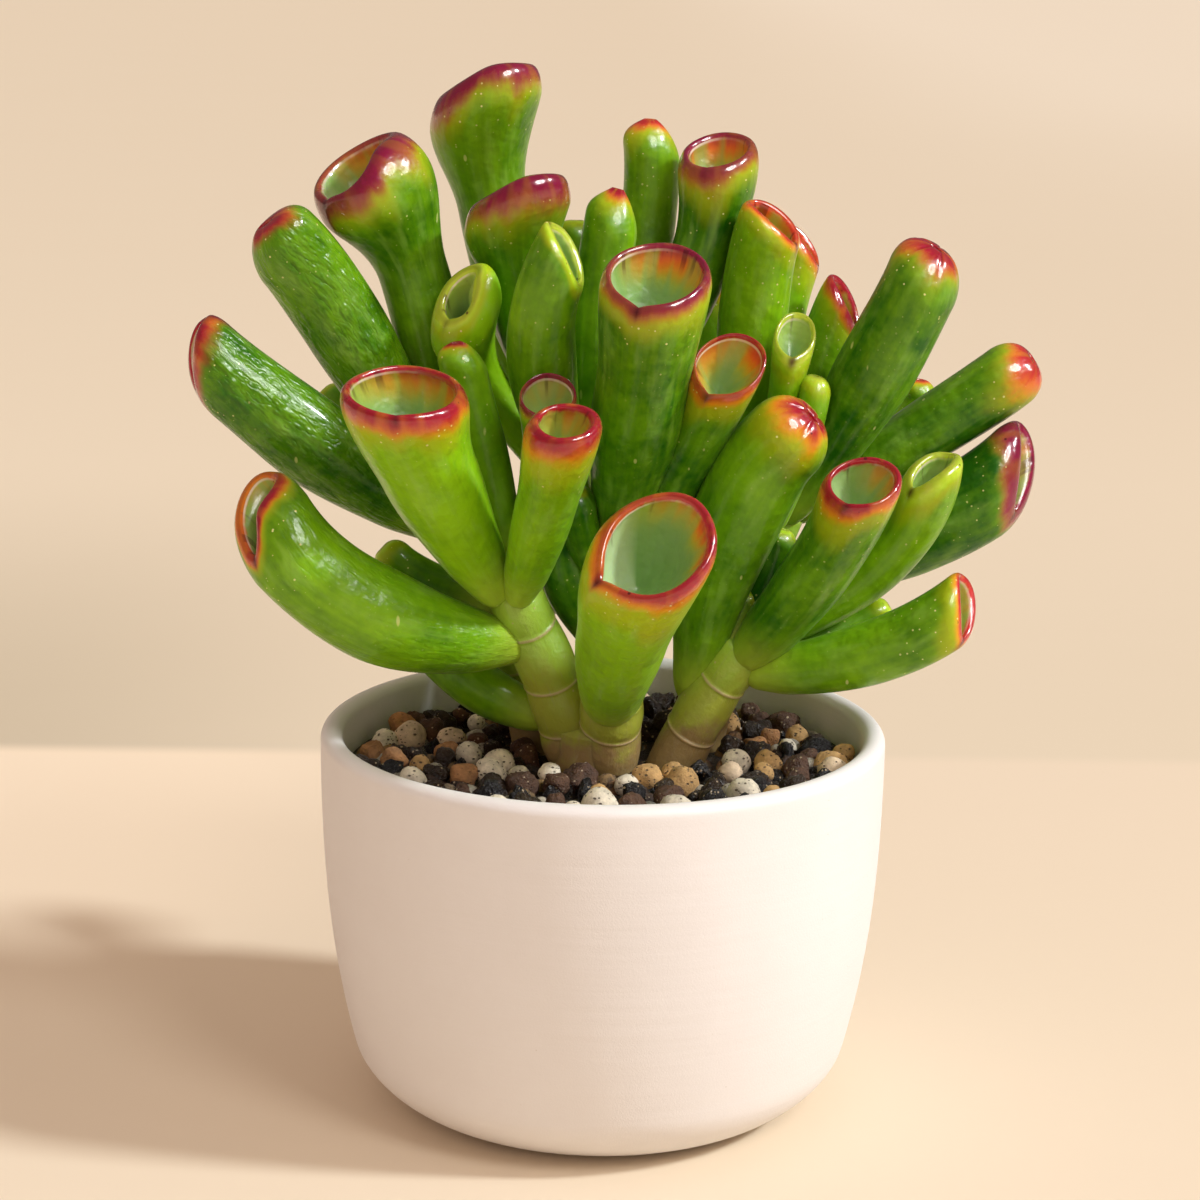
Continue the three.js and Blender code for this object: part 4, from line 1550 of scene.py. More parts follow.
CENTRE = LeafyStem(
    "leafy_stem_centre",
    (Stem(((2, 12, 44), (3, 10, 75), (-4, 10, 110)), (4.4, 3), (0.4, 0.6, 0.8)),),
    (
        trumpet((1, 9, 86), (4.5, -6, 112), (7, -14, 134), (3.4, 7.3, 8.8), (264, 62),
                Blush.PURPLE, 0.75, 0.28, notch=(-12, 1.6), flare=0.66, shoulder=1.5,
                heat=(145, 1.15, -0.35), line=(-90, 1.0, -0.2), fade=(-70, 0.35), spread=1.2),
        trumpet((2, 9, 84), (12.5, -2, 106), (18.3, -11, 121), (3, 5, 5.6), (262, 42),
                Blush.CRIMSON, 0.65, 0.22, notch=(-12, 2.0), lip=0.6, heat=(110, 1.0, 0.5),
                line=(-60, 1.0, 0.5), fade=(-30, 0.3), spread=1.7),
        bud((-2, 10, 102), (-1.5, 11, 123), (0.5, 12, 140.5), (3, 4.6, 4.4), (340, 50),
            Blush.CRIMSON, 0.6, 0.55, point=0.45),
        slit((-3, 9, 96), (-10, -1, 118), (-7, -6, 136.5), (3, 5.5, 5), (340, 15),
             Blush.YELLOW, 0.3, 0.45, notch=(180, 1.0), line=(-90, 1.0, 0.2)),
        trumpet((-2, 9, 94), (-17.5, 8.5, 112.5), (-22.2, 2, 128), (2.5, 3.1, 5.9), (232, 30),
                Blush.YELLOW, 0.5, 1.0, flare=0.66, lip=2.5, shoulder=3.4, roll=(125, 0.75), notch=(0, 0.5)),
        trumpet((-3, 10, 98), (-12, 11, 124.5), (-14.2, 7, 143), (3, 5.8, 8.4), (164, 71),
                Blush.PURPLE, 1.9, 0.28, flare=0.7, lip=1.9, shoulder=2.6, roll=(115, 0.8), spread=0.68),
        bud((-2, 11, 105), (5, 22, 131), (6.6, 24, 151), (2.8, 4.6, 4.5), (345, 50),
            Blush.SCARLET, 0.8, 0.6, point=0.3),
        trumpet((-1, 11, 103), (13, 16, 130), (17, 16, 149.5), (3, 5.2, 6.7), (250, 66),
                Blush.PURPLE, 1.05, 0.22, flare=0.62, lip=1.5, shoulder=2.0, notch=(0, 0.4),
                heat=(180, 0.9, 0.5), fade=(90, 0.3)),
        young((-3, 11, 106), (-4, 21, 124), (-5, 25, 137), (2.2, 3.2, 2.9), (0, 60)),
        trumpet((-4, 13, 102), (-17, 24, 133), (-20, 22, 159), (3.2, 5.7, 8.7), (168, 71),
                Blush.PURPLE, 2.1, 0.42, flare=0.7, lip=1.9, shoulder=2.6, roll=(110, 0.9), spread=0.68),
        young((0, 9, 80), (-3, 2, 90), (-4.5, -2, 98), (2.6, 3.4, 3.1), (260, 60), 0.3, 0.2),
        young((2, 9, 82), (13, 6, 96), (16, 5, 107), (2.6, 3.8, 3.4), (300, 60), 0.3, 0.2),
        young((2, 11, 70), (-5, 5, 82), (-7, 4, 92), (3, 4.4, 4), (250, 60), 0.3, 0.1),
        young((3, 9, 72), (4, 1, 84), (4, -3, 94), (3, 4.4, 4), (290, 60), 0.3, 0.1),
    ),
)

BACK_LEFT = LeafyStem(
    "leafy_stem_back_left",
    (Stem(((-9, 11, 44), (-12, 11, 72), (-27, 11, 96)), (4.3, 3), (0.45, 0.7)),),
    (
        trumpet((-25, 12, 93), (-29.5, 14, 126), (-37.8, 10, 146.6), (3.4, 5.6, 9.5), (215, 54),
                Blush.PURPLE, 1.8, 0.40, flare=0.66, lip=1.5, shoulder=2.4, roll=(112, 1.15), notch=(0, 1.4),
                heat=(180, 1.1, -0.2), line=(-40, 0.8, 0.0), fade=(-80, 0.4), spread=0.72),
        bud((-25, 10, 93), (-39.5, 7, 121), (-50, 2, 137), (3.6, 6.7, 6.4), (180, 25),
            Blush.CRIMSON, 1.5, 0.34, wrinkle=0.7, spread=0.3),
        slit((-24, 10, 90), (-46, 3, 106), (-61.5, 0, 119), (3.8, 7.1, 6.1), (195, 12),
             Blush.CRIMSON, 1.5, 0.22, wrinkle=0.8, lip=1.6, shoulder=2.8, spread=0.3),
        young((-24, 12, 91), (-37, 20, 102), (-45, 24, 109), (2.6, 3.8, 3.4), (180, 40)),
    ),
)

BACK_RIGHT = LeafyStem(
    "leafy_stem_back_right",
    (Stem(((14, 13, 44), (17, 13, 68), (30, 13, 95)), (4.3, 3), (0.45, 0.7)),),
    (
        slit((22, 13, 88), (22.7, 12, 122), (25.2, 8, 140), (3, 5.6, 5.6), (330, 50),
             Blush.ORANGE, 0.28, 0.7, spread=1.8),
        slit((25, 14, 91), (27.5, 22, 120), (31, 24, 135), (2.5, 3.9, 4.2), (345, 40),
             Blush.ORANGE, 0.4, 0.85, spread=1.8),
        bud((28, 12, 92), (41.5, 6, 117), (49, 3, 133.3), (3.8, 6.5, 6.3), (316, 48),
            Blush.CRIMSON, 1.7, 0.22, creases=5, spread=0.6),
        bud((28, 14, 92), (52, 14, 107.5), (64.5, 13, 116.6), (3.2, 5.4, 5.3), (325, 40),
            Blush.SCARLET, 1.7, 0.26, spread=0.7),
        slit((22, 14, 80), (48, 11, 90.5), (64, 9, 101), (3.4, 7, 7), (330, 6),
             Blush.PURPLE, 1.4, 0.16, lip=1.4, shoulder=2.4, line=(0, 0.3, 0.1), heat=(180, 0.6, 0.3),
             spread=0.45),
        bud((28, 14, 92), (46, 23, 103), (51.5, 25, 111.5), (2.2, 3, 2.9), (0, 40),
            Blush.ORANGE, 0.5, 0.7),
        slit((27, 14, 92), (33.5, 17, 115), (37.5, 17, 126.5), (2.6, 4.3, 4.5), (340, 20),
             Blush.CRIMSON, 0.6, 0.6),
        trumpet((25, 10, 90), (27.5, 4, 112), (29, 2, 123.5), (2, 2.7, 3.4), (270, 45),
                Blush.YELLOW, 0.7, 0.7),
        young((25, 10, 88), (30, 3, 104), (32.5, 1, 116), (2, 2.6, 2.5), (300, 50), tone=0.6),
    ),
)

BACK = LeafyStem(
    "leafy_stem_back",
    (Stem(((1, 22, 44), (1, 25, 70), (0, 31, 90)), (4.2, 3), (0.5, 0.75)),),
    (
        trumpet((0, 29, 84), (-7, 42, 97), (-11, 50, 110), (3.4, 6.4, 8.6), (100, 50),
                Blush.CRIMSON, 1.1, 0.5),
        trumpet((1, 27, 78), (15, 40, 86), (23, 48, 98), (3.4, 5.8, 7.6), (60, 50),
                Blush.PURPLE, 1.0, 0.45),
        bud((0, 26, 74), (2, 44, 78), (4, 56, 87), (3.2, 5.6, 5.2), (90, 40),
            Blush.SCARLET, 0.9, 0.6, creases=5),
        slit((0, 26, 74), (-18, 37, 80), (-28, 44, 91), (3.2, 5.2, 5.2), (130, 20),
             Blush.ORANGE, 1.0, 0.6),
        trumpet((0, 29, 86), (13, 34, 108), (18, 38, 126), (3, 5.6, 7.2), (50, 60),
                Blush.CRIMSON, 1.0, 0.55),
        bud((0, 30, 87), (-14, 33, 112), (-19, 35, 129), (3, 5.6, 5.4), (140, 50),
            Blush.ORANGE, 0.9, 0.7, creases=5),
        trumpet((0, 31, 88), (2, 38, 114), (3, 42, 133), (3.2, 5.6, 7.4), (100, 55),
                Blush.PURPLE, 1.1, 0.45),
    ),
)

PLANT = (FRONT_LEFT, FRONT_RIGHT, CENTRE, BACK_LEFT, BACK_RIGHT, BACK)
SOIL_FOOT = 44.0


# ---- the pot


@dataclass(frozen=True)
class Pot:
    """A round ceramic pot with a small foot, a rounded bottom edge and a rounded lip.

    Args:
        height, radius: overall height, and radius of the wall at the lip.
        wall, floor: thickness of the wall and the floor.
        foot: radius of the flat foot.
        corner: height over which the bottom edge is rounded.
        taper, power: how much narrower the wall is at the foot, and how it gets there.
        drain, circle, drains: radius, pitch circle radius and number of the drain holes.
        gap: clear space between the wall and the soil, and between the soil and the stems.
    """

    height: float = 61.5
    radius: float = 45.0
    wall: float = 3.5
    floor: float = 5.0
    foot: float = 26.0
    corner: float = 10.0
    taper: float = 8.0
    power: float = 2.6
    drain: float = 3.0
    circle: float = 15.0
    drains: int = 3
    gap: float = 0.3

    SEGMENTS = 192
    INSIDE_FOOT = 8.0
    FLOOR_FLAT = 0.8
    FOOT_RINGS = (9.0, 18.0, 25.4)
    SHARP = 40.0

    def outside(self, height: Array | float) -> Array:
        """The outside.

        Args:
            height: heights over the foot.

        Returns:
            Its radius there.
        """
        height = np.asarray(height, float)
        wall = self.radius - self.taper * (1 - height / self.height) ** self.power
        fall = np.maximum(0.0, 1 - height / self.corner)
        return self.foot + (wall - self.foot) * np.sqrt(1 - fall**2)

    def hollow(self, gap: float, top: float) -> Array:
        """The inside.

        Args:
            gap: how much it is shrunk.
            top: height where it ends.

        Returns:
            Radius and height of points from the floor's edge up.
        """
        heights = np.linspace(self.INSIDE_FOOT, top, 40)
        start = self.outside(self.floor) - self.wall - gap
        rise = np.column_stack([self.outside(heights) - self.wall - gap, heights])
        return np.vstack([[float(start) * self.FLOOR_FLAT, self.floor + gap], rise])

    def build(self, material: Material) -> Thing:
        """The pot, which replaces its node.

        Args:
            material: its finish.

        Returns:
            One object, with its drain holes cut.
        """
        bead = self.wall / 2
        beside = self.height - bead
        rounded = self.corner * np.linspace(0, 1, 30) ** 2.2
        heights = np.concatenate([rounded, np.linspace(self.corner, beside, 42)[1:]])
        outer = np.column_stack([self.outside(heights), heights])
        turn = np.linspace(0, np.pi, 19)[1:-1]
        middle = float(self.outside(beside)) - bead
        lip = np.column_stack([middle + bead * np.cos(turn), beside + bead * np.sin(turn)])
        inner = self.hollow(0.0, beside)[::-1]
        foot = np.array([[radius, 0.0] for radius in self.FOOT_RINGS])
        shell = lathe(np.vstack([foot, outer, lip, inner]), 0.0, self.floor, self.SEGMENTS)
        piece = mesh_object("ceramic_pot", [shell], [material])
        run_tree(piece, drain_tree(), {
            "Hole Radius": self.drain * MM, "Circle Radius": self.circle * MM,
            "Depth": 3 * self.floor * MM, "Count": self.drains, "Skin": material,
        })
        settle(piece)
        piece.data.set_sharp_from_angle(angle=math.radians(self.SHARP))
        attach(piece, "root")
        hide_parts("pot")
        return piece


def lathe(profile: Array, first: float, last: float, segments: int) -> Shell:
    """The closed surface of a turned form.

    Args:
        profile: radius and height of points from the bottom, over the outside, to the last ring.
        first, last: heights of the points on the axis that close both ends.
        segments: number of sides.

    Returns:
        A shell round the Z axis.
    """
    angle = np.linspace(0, 2 * np.pi, segments, endpoint=False)
    radius, height = profile[:, :1], profile[:, 1:]
    rings = np.stack([radius * np.cos(angle), radius * np.sin(angle), height + 0 * angle], -1)
    return Shell.over(np.array([0, 0, first], float), rings, np.array([0, 0, last], float))


# ---- geometry trees


class RuleSheet(Sheet):
    """A geometry node tree that is filled in with short calls."""

    RANDOM = {int: ("INT", 4, 2), float: ("FLOAT", 2, 1), tuple: ("FLOAT_VECTOR", 0, 0)}

    def random(self, low: object, high: object, seed: object) -> Socket:
        """A random whole number, number or vector.

        Args:
            low: least value. Its type says what is drawn.
            high: greatest value.
            seed: seed of the draw.

        Returns:
            A value for each point.
        """
        kind, place, output = self.RANDOM[type(low)]
        node = self.node("FunctionNodeRandomValue", data_type=kind)
        self.put(node.inputs[place], low)
        self.put(node.inputs[place + 1], high)
        return self.fill(node, {"Seed": seed}).outputs[output]

    def end(self, result: Socket, geometry: Socket, skin: Socket) -> Tree:
        """Ends the tree.

        Args:
            result: the tree's own output.
            geometry: what it puts out.
            skin: the material that this gets.

        Returns:
            The tree.
        """
        dressed = self.run("GeometryNodeSetMaterial", geometry)
        self.put(result, self.fill(dressed, {"Material": skin}).outputs[0])
        return self.tree


def rule_tree(name: str, inputs: dict[str, str]) -> tuple[RuleSheet, Sockets, Socket]:
    """An empty geometry node tree.

    Args:
        name: the tree's name.
        inputs: socket type of each input after the geometry.

    Returns:
        The sheet, the inner sockets of the inputs, and that of the output.
    """
    tree = bpy.data.node_groups.new(name, "GeometryNodeTree")
    tree.interface.new_socket(name="Geometry", in_out="INPUT", socket_type="NodeSocketGeometry")
    for key, socket_type in inputs.items():
        tree.interface.new_socket(name=key, in_out="INPUT", socket_type=socket_type)
    tree.interface.new_socket(name="Geometry", in_out="OUTPUT", socket_type="NodeSocketGeometry")
    sheet = RuleSheet(tree)
    source, target = sheet.node("NodeGroupInput"), sheet.node("NodeGroupOutput")
    return sheet, source.outputs, target.inputs[0]


def run_tree(thing: Thing, tree: Tree, values: dict[str, object]) -> None:
    """Adds a tree to an object as a modifier, and sets its inputs by identifier.

    Args:
        thing: the object.
        tree: the tree.
        values: the inputs' values, by their names.
    """
    modifier = thing.modifiers.new(tree.name, "NODES")
    modifier.node_group = tree
    for item in tree.interface.items_tree:
        if item.in_out == "INPUT" and item.name in values:
            modifier[item.identifier] = values[item.name]


def drain_tree() -> Tree:
    """Holes on a circle, cut through the form along Z.

    Returns:
        A tree that ends in plain geometry with its material.
    """
    sheet, given, result = rule_tree("drain_holes", {
        "Hole Radius": NUMBER, "Circle Radius": NUMBER, "Depth": NUMBER,
        "Count": "NodeSocketInt", "Skin": "NodeSocketMaterial",
    })
    circle = sheet.run("GeometryNodeMeshCircle", given["Count"], given["Circle Radius"])
    places = sheet.run("GeometryNodeTransform", circle.outputs[0])
    sheet.fill(places, {"Rotation": (0.0, 0.0, math.pi / 2)})
    drill = sheet.node("GeometryNodeMeshCylinder")
    sheet.fill(drill, {"Vertices": 48, "Radius": given["Hole Radius"], "Depth": given["Depth"]})
    drills = sheet.run("GeometryNodeInstanceOnPoints", places.outputs[0], None, drill.outputs[0])
    solid = sheet.run("GeometryNodeRealizeInstances", drills.outputs[0])
    cut = sheet.run("GeometryNodeMeshBoolean", given["Geometry"], solid.outputs[0],
                    operation="DIFFERENCE", solver="EXACT")
    smooth_faces = sheet.run("GeometryNodeSetShadeSmooth", cut.outputs[0])
    return sheet.end(result, smooth_faces.outputs[0], given["Skin"])


@dataclass(frozen=True)
class Layer:
    """One layer of loose grains.

    Args:
        spacing: least distance between its grains' middles, in pitches.
        rise: height of its grains over the bed, in lifts.
        sizes: least and greatest size of a grain, 1 for the usual.
        tones_and_gap_shade: darkest and palest tone of a grain, darker in the lower layer as painted shade.
    """

    spacing: float
    rise: float
    sizes: Pair
    tones_and_gap_shade: Pair


# The lower layer's grains get darker tones than the top layer's: painted shade in the gaps between the top
# grains.
LAYERS = (
    Layer(0.80, 0.0, (0.66, 0.95), (0.0, 0.32)),
    Layer(1.0, 1.0, (0.70, 1.18), (0.60, 1.0)),
)
FLAT_NORMAL = 0.9
MOST_POINTS = 4.0e5
LIFT_RANGE = (0.75, 1.25)
ANY_TURN = ((0.0, 0.0, 0.0), (6.28, 6.28, 6.28))


def soil_tree(kinds: int) -> Tree:
    """Layers of loose grains on a bed, clear of the stems, and the bed cut round them.

    Args:
        kinds: number of grain forms to pick from.

    Returns:
        A tree that ends in plain geometry with its material.
    """
    sheet, given, result = rule_tree("loose_grains", {
        "Stems": "NodeSocketObject", "Holes": "NodeSocketObject", "Grains": "NodeSocketCollection",
        "Reach": NUMBER, "Pitch": NUMBER, "Clear": NUMBER, "Lift": NUMBER,
        "Seed": "NodeSocketInt", "Skin": "NodeSocketMaterial",
    })
    stems = sheet.run("GeometryNodeObjectInfo", given["Stems"]).outputs["Geometry"]
    holes = sheet.run("GeometryNodeObjectInfo", given["Holes"]).outputs["Geometry"]
    forms = sheet.run("GeometryNodeCollectionInfo", given["Grains"], True, True).outputs[0]
    x, y, _ = sheet.split(sheet.node("GeometryNodeInputPosition").outputs[0])
    out = sheet.math("SQRT", sheet.plus(sheet.math("POWER", x, 2.0), sheet.math("POWER", y, 2.0)))
    upward = sheet.split(sheet.node("GeometryNodeInputNormal").outputs[0])[2]
    bed = sheet.run("GeometryNodeMeshBoolean", given["Geometry"], holes,
                    operation="DIFFERENCE", solver="EXACT")
    joined = sheet.run("GeometryNodeJoinGeometry", bed.outputs[0])
    for number, layer in enumerate(LAYERS):
        seeds = [sheet.plus(given["Seed"], float(10 * number + draw)) for draw in range(5)]
        spots = sheet.node("GeometryNodeDistributePointsOnFaces", distribute_method="POISSON")
        sheet.fill(spots, {
            "Mesh": given["Geometry"], "Selection": sheet.math("GREATER_THAN", upward, FLAT_NORMAL),
            "Distance Min": sheet.times(given["Pitch"], layer.spacing),
            "Density Max": MOST_POINTS, "Seed": seeds[0],
        })
        uneven = sheet.times(sheet.random(*LIFT_RANGE, seeds[0]), layer.rise)
        offset = sheet.run("ShaderNodeCombineXYZ", None, None, sheet.times(given["Lift"], uneven))
        raised = sheet.run("GeometryNodeSetPosition", spots.outputs[0])
        sheet.fill(raised, {"Offset": offset.outputs[0]})
        near = sheet.run("GeometryNodeProximity", stems, target_element="FACES")
        close = sheet.math("LESS_THAN", near.outputs["Distance"], given["Clear"])
        lost = sheet.math("MAXIMUM", close, sheet.math("GREATER_THAN", out, given["Reach"]))
        kept = sheet.run("GeometryNodeDeleteGeometry", raised.outputs[0], lost).outputs[0]
        form = sheet.random(0, kinds - 1, seeds[1])
        turn = sheet.random(*ANY_TURN, seeds[2])
        size = sheet.random(*layer.sizes, seeds[3])
        grains = sheet.run("GeometryNodeInstanceOnPoints", kept, None, forms, True, form, turn, size)
        # Each grain's tone at random, darker in the lower layer as painted shade between the top grains.
        shade = sheet.random(*layer.tones_and_gap_shade, seeds[4])
        shaded = sheet.run("GeometryNodeStoreNamedAttribute", grains.outputs[0], None, "shade", shade,
                           data_type="FLOAT", domain="INSTANCE")
        sheet.put(joined.inputs[0], shaded.outputs[0])
    real = sheet.run("GeometryNodeRealizeInstances", joined.outputs[0])
    return sheet.end(result, real.outputs[0], given["Skin"])


# ---- the soil


@dataclass(frozen=True)
class SoilMix:
    """A bed of soil with loose mineral grains on top.

    Args:
        top: height of the bed's top.
        grain: usual radius of a grain.
        pitch: least distance between two grains' middles.
        lift: height of a grain's middle over the bed.
        clear: least distance from a grain's middle to a stem.
        seed: sets where the grains lie.
    """

    top: float = 54.2
    grain: float = 2.45
    pitch: float = 4.35
    lift: float = 1.5
    clear: float = 2.2
    seed: int = 417

    CELLS = 6
    CUTS = 9
    SEGMENTS = 96
    # Tone of the bed, which shows only between the grains: painted shade.
    BED_PAINTED_SHADE = 0.3
    EDGE = 0.9
    SHARP = 75.0
    DENTS = ((2.4, 0.17), (5.5, 0.102))

    def build(self, pot: Pot, plant: tuple[LeafyStem, ...], material: Material) -> Thing:
        """The soil, which replaces its node.

        Args:
            pot: what it fills.
            plant: what stands in it.
            material: its finish.

        Returns:
            One object: the bed and its grains.
        """
        wall = pot.hollow(pot.gap, self.top)
        inward = np.linspace(1, 0, 26)[1:-1] * wall[-1, 0]
        across = np.column_stack([inward, np.full(len(inward), self.top)])
        shell = lathe(np.vstack([wall, across]), pot.floor + pot.gap, self.top, self.SEGMENTS)
        # The bed gets a dark brown lava tone: painted shade in the gaps between the grains.
        shell.values["kind"] = np.full(len(shell.points), GrainKind.BROWN_LAVA.value[0])
        shell.values["shade"] = np.full(len(shell.points), self.BED_PAINTED_SHADE)
        piece = mesh_object("loose_soil", [shell], [material])
        feet = [stem for leafy in plant for stem in leafy.stems if stem.points[0][2] == SOIL_FOOT]
        every = [stem.shell() for leafy in plant for stem in leafy.stems]
        stems = mesh_object("stem_feet", every, [])
        holes = mesh_object("stem_holes", [stem.shell(pot.gap) for stem in feet], [])
        forms = self._forms()
        run_tree(piece, soil_tree(len(forms.objects)), {
            "Stems": stems, "Holes": holes, "Grains": forms, "Seed": self.seed, "Skin": material,
            "Reach": (wall[-1, 0] - self.grain * self.EDGE) * MM, "Pitch": self.pitch * MM,
            "Clear": self.clear * MM, "Lift": self.lift * MM,
        })
        settle(piece)
        piece.data.set_sharp_from_angle(angle=math.radians(self.SHARP))
        for helper in (stems, holes, *forms.objects):
            bpy.data.objects.remove(helper)
        bpy.data.collections.remove(forms)
        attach(piece, "root")
        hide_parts("soil_mix")
        return piece

    def _forms(self) -> bpy.types.Collection:
        """The grain forms.

        Returns:
            A collection that has as many forms of each kind as its share of the mix.
        """
        forms = bpy.data.collections.new("grain_forms")
        draw = np.random.default_rng(self.seed)
        for kind in GrainKind:
            place, rough, share = kind.value
            for number in range(share):
                shell = self._grain(place, rough, draw)
                form = mesh_object(f"{kind.name.lower()}_{number}", [shell], [])
                bpy.context.scene.collection.objects.unlink(form)
                forms.objects.link(form)
        return forms

    def _grain(self, place: float, rough: float, draw: np.random.Generator) -> Shell:
        """One grain: a ball, dented, and broken flat where it is rough.

        Args:
            place: the kind's place on the colour scale.
            rough: how angular and uneven it is.
            draw: where its chances come from.

        Returns:
            A closed shell round the origin.
        """
        points, faces = ball(self.CELLS)
        cuts = unit(draw.normal(size=(self.CUTS, 3)))
        depth = draw.uniform(1.0 - 0.62 * rough, 1.08, self.CUTS)
        reach = points @ cuts.T
        limit = np.where(reach > 0.05, depth / np.maximum(reach, 0.05), 9.0)
        radius = np.minimum(1.0, limit.min(axis=1))
        for waves, height in self.DENTS:
            turn = draw.normal(size=(3, 3)) * waves
            dents = np.sin(points @ turn + draw.uniform(0, 6.28, 3)).mean(axis=1)
            radius = radius + height * (0.35 + rough) * dents
        sizes = draw.uniform(0.82, 1.08, 3)
        grown = points * radius[:, None] * sizes * self.grain
        return Shell(grown, faces, values={"kind": np.full(len(points), place)})


def ball(cells: int) -> tuple[Array, list[tuple[int, ...]]]:
    """A unit ball of even quads.

    Args:
        cells: number of quads along a side of the cube that it is made from.

    Returns:
        Its points and faces.
    """
    steps = np.tan(np.linspace(-np.pi / 4, np.pi / 4, cells + 1))
    index: dict[tuple[float, ...], int] = {}
    faces: list[tuple[int, ...]] = []

    def number(point: tuple[float, ...]) -> int:
        """The number of a point, which it gets at its first use."""
        return index.setdefault(tuple(round(value, 6) + 0.0 for value in point), len(index))

    for axis in range(3):
        for side in (-1.0, 1.0):
            for u, v in np.ndindex(cells, cells):
                corners = [(steps[u], steps[v]), (steps[u + 1], steps[v]),
                           (steps[u + 1], steps[v + 1]), (steps[u], steps[v + 1])]
                quad = []
                for a, b in corners if side > 0 else reversed(corners):
                    point = [0.0, 0.0, 0.0]
                    point[axis] = side
                    point[(axis + 1) % 3] = a
                    point[(axis + 2) % 3] = b
                    quad.append(number(tuple(point)))
                faces.append(tuple(quad))
    return unit(np.array(list(index))), faces


# ---- the studio


@dataclass(frozen=True)
class Studio:
    """A pale floor in warm light: a sun from the right, a soft box and a cream surround.

    Args:
        target: point that the camera looks at.
        distance: how far the camera stands from it.
        elevation, roll: how high it stands and how it is turned, in degrees.
        lens, sensor: focal length and width of the frame.
        floor_size: width of the floor, in metres, as are the places on it.
        table_end: how far behind the middle the nearer, table tone ends.
        table, table_lit: its tone, and that on its left, behind the pot.
        wall, wall_dim, wall_lit: tone of the floor beyond, dim near the table and lit on the far right.
        dust: tone of faint clouds on the floor.
        surround: colour of the surround.
        surround_strength, surround_gloss: its strength, and that in glossy reflections.
        sun_compass, sun_height: where the sun stands, in degrees.
        sun_energy, sun_angle, sun_colour: its strength, its width in degrees, and its colour.
        glint_energy, glint_angle: strength and width of a sun that only shows in the gloss.
        box_compass, box_height, box_distance: where the soft box stands, in degrees and metres.
        box_size, box_energy, box_colour: its width, strength and colour.
        card_size, card_energy: width and strength of a box that only shows in the gloss.
    """

    target: Point = (-0.73, 0.0, 81.83)
    distance: float = 450.0
    elevation: float = 13.4
    roll: float = 0.72
    lens: float = 85.27
    sensor: float = 36.0
    floor_size: float = 40.0
    table_end: float = 0.19
    table: Colour = (0.797, 0.683, 0.527)
    table_lit: Colour = (0.89, 0.755, 0.575)
    wall: Colour = (0.79, 0.69, 0.53)
    wall_dim: Colour = (0.60, 0.52, 0.385)
    wall_lit: Colour = (0.86, 0.773, 0.625)
    dust: Colour = (0.9, 0.86, 0.8)
    surround: Colour = (1.0, 0.776, 0.664)
    surround_strength: float = 0.58
    surround_gloss: float = 0.16
    sun_compass: float = -12.0
    sun_height: float = 38.0
    sun_energy: float = 2.41
    sun_angle: float = 7.0
    sun_colour: Colour = (0.925, 0.973, 1.0)
    glint_energy: float = 2.5
    glint_angle: float = 4.0
    box_compass: float = -52.0
    box_height: float = 44.0
    box_distance: float = 1.0
    box_size: float = 0.30
    box_energy: float = 2.4
    box_colour: Colour = (1.0, 0.97, 0.94)
    card_size: float = 0.42
    card_energy: float = 12.0

    LIT_ACROSS, LIT_AWAY = (-0.02, -0.10), (0.0, 0.10)
    DIM_ACROSS, DIM_AWAY = (-0.02, -0.16, 0.25, 1.0), 0.55
    FAR_ACROSS, FAR_AWAY = (0.0, 0.65), (0.5, 3.0)
    SOFT_EDGE = 0.005
    SUN_DISTANCE = 2.0

    def build(self) -> None:
        """Makes the floor, the lights, the surround and the camera."""
        self._floor()
        self._lights()
        self._surround()
        self._camera()

    def _floor(self) -> None:
        """A large plain floor whose tone turns behind the pot: lit on the near left, dim behind it."""
        half = self.floor_size / 2
        mesh = bpy.data.meshes.new("floor")
        corners = [(-half, -half, 0), (half, -half, 0), (half, half, 0), (-half, half, 0)]
        mesh.from_pydata(corners, [], [(0, 1, 2, 3)])
        floor = bpy.data.objects.new("floor", mesh)
        bpy.context.scene.collection.objects.link(floor)
        sheet, shader, material = finish_sheet("floor_paint")
        place = sheet.node("ShaderNodeTexCoord").outputs["Object"]
        across, away, _ = sheet.split(place)
        lit = sheet.times(sheet.step(across, *self.LIT_ACROSS), sheet.step(away, *self.LIT_AWAY))
        dim_away = sheet.step(away, self.DIM_AWAY, self.table_end)
        dim = sheet.times(sheet.step(across, *self.DIM_ACROSS), dim_away)
        far = sheet.times(sheet.step(across, *self.FAR_ACROSS), sheet.step(away, *self.FAR_AWAY))
        table = sheet.mix(lit, self.table, self.table_lit)
        wall = sheet.mix(far, sheet.mix(dim, self.wall, self.wall_dim), self.wall_lit)
        back = sheet.step(away, self.table_end - self.SOFT_EDGE, self.table_end + self.SOFT_EDGE)
        clouds = sheet.times(sheet.noise(place, 6.0, 3.0), 0.03)
        sheet.fill(shader, {
            "Base Color": sheet.mix(clouds, sheet.mix(back, table, wall), self.dust),
            "Roughness": 1.0, "Specular IOR Level": 0.0,
        })
        mesh.materials.append(material)

    def _light(self, kind: str, name: str, place: Point, energy: float) -> bpy.types.Light:
        """A light that shines on the target.

        Args:
            kind: SUN or AREA.
            name: the light's name.
            place: compass angle and height in degrees, and distance from the target in metres.
            energy: its strength.

        Returns:
            The light.
        """
        light = bpy.data.lights.new(name, kind)
        light.energy = energy
        lamp = bpy.data.objects.new(name, light)
        compass, height, distance = place
        toward = Vector(direction(compass, height))
        turn = toward.to_track_quat("Z", "Y").to_matrix().to_4x4()
        lamp.matrix_world = Matrix.Translation(Vector(self.target) * MM + toward * distance) @ turn
        bpy.context.scene.collection.objects.link(lamp)
        return light

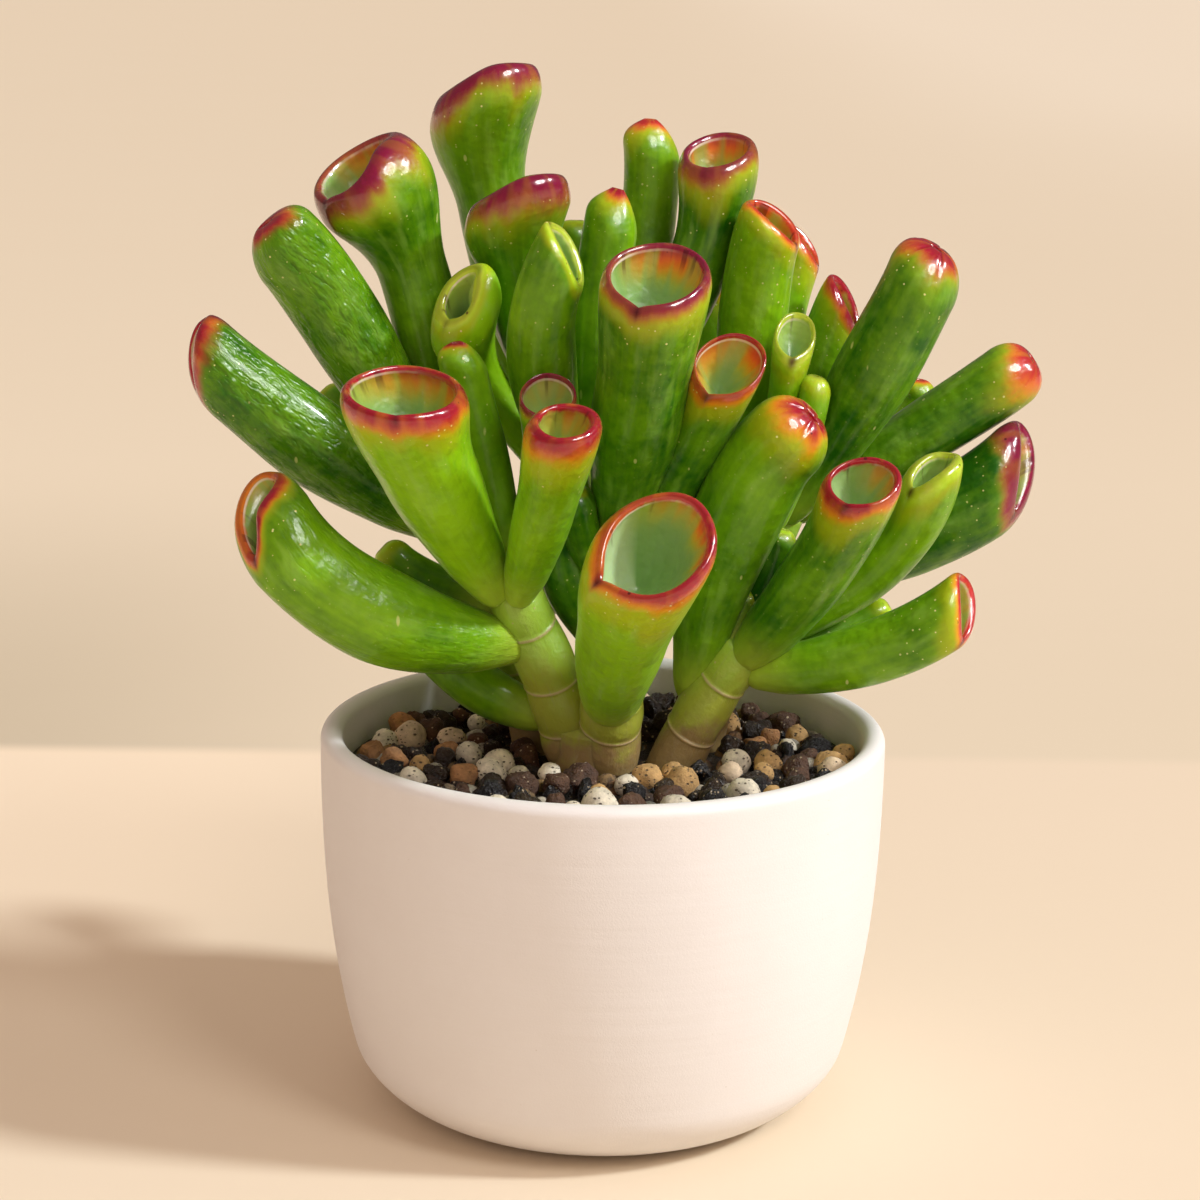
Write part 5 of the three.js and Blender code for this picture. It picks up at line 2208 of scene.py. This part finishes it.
    def _lights(self) -> None:
        """The sun and the soft box, and one more of each that only shows in the gloss."""
        in_sky = (self.sun_compass, self.sun_height, self.SUN_DISTANCE)
        sun = self._light("SUN", "sun", in_sky, self.sun_energy)
        sun.angle = math.radians(self.sun_angle)
        sun.color = self.sun_colour
        overhead = (self.box_compass, self.box_height, self.box_distance)
        box = self._light("AREA", "soft_box", overhead, self.box_energy)
        box.size = self.box_size
        box.color = self.box_colour
        card = self._light("AREA", "shine_card", overhead, self.card_energy)
        card.size = self.card_size
        box.shape = card.shape = "DISK"
        glint = self._light("SUN", "sun_glint", in_sky, self.glint_energy)
        glint.angle = math.radians(self.glint_angle)
        for name in ("shine_card", "sun_glint"):
            bpy.data.objects[name].visible_diffuse = False

    def _surround(self) -> None:
        """An even cream world."""
        world = bpy.data.worlds.new("surround")
        world.use_nodes = True
        sheet = Sheet(world.node_tree)
        shader = world.node_tree.nodes["Background"]
        shader.inputs[0].default_value = (*self.surround, 1.0)
        glossy = sheet.node("ShaderNodeLightPath").outputs["Is Glossy Ray"]
        sheet.put(shader.inputs[1], sheet.step(glossy, 0.0, 1.0, self.surround_strength, self.surround_gloss))
        bpy.context.scene.world = world

    def _camera(self) -> None:
        """The camera, at the set distance, height and roll."""
        scene = bpy.context.scene
        rise, turn = math.radians(self.elevation), math.radians(self.roll)
        back = Vector((0.0, -math.cos(rise), math.sin(rise)))
        right = Vector((1.0, 0.0, 0.0))
        up = back.cross(right)
        side = math.cos(turn) * right + math.sin(turn) * up
        top = -math.sin(turn) * right + math.cos(turn) * up
        lens = bpy.data.cameras.new("camera")
        lens.lens = self.lens
        lens.sensor_width = self.sensor
        lens.clip_start = 0.01
        lens.clip_end = 60.0
        camera = bpy.data.objects.new("camera", lens)
        frame_axes = Matrix((side, top, back)).transposed().to_4x4()
        place = (Vector(self.target) + back * self.distance) * MM
        camera.matrix_world = Matrix.Translation(place) @ frame_axes
        scene.collection.objects.link(camera)
        scene.camera = camera
        scene.view_settings.view_transform = "Standard"


# ---- everything


def triangles(thing: Thing) -> int:
    """Number of triangles of a mesh object."""
    return sum(len(face.vertices) - 2 for face in thing.data.polygons)


def main() -> None:
    """Builds the studio, the pot, the soil and the plant, and reports each piece."""
    speckles, mottle = speckle_group(), mottle_group()
    Studio().build()
    pot = Pot()
    pieces = [pot.build(PotFinish().material(speckles, mottle))]
    pieces.append(SoilMix().build(pot, PLANT, SoilFinish().material(speckles, mottle)))
    skins = [LeafFinish().material(speckles, mottle), StemFinish().material(speckles, mottle)]
    for number, leafy in enumerate(PLANT, start=1):
        pieces.append(leafy.build(number, skins))
    for piece in pieces:
        log.info("%s: %d triangles", piece.name, triangles(piece))


if __name__ == "__main__":
    main()
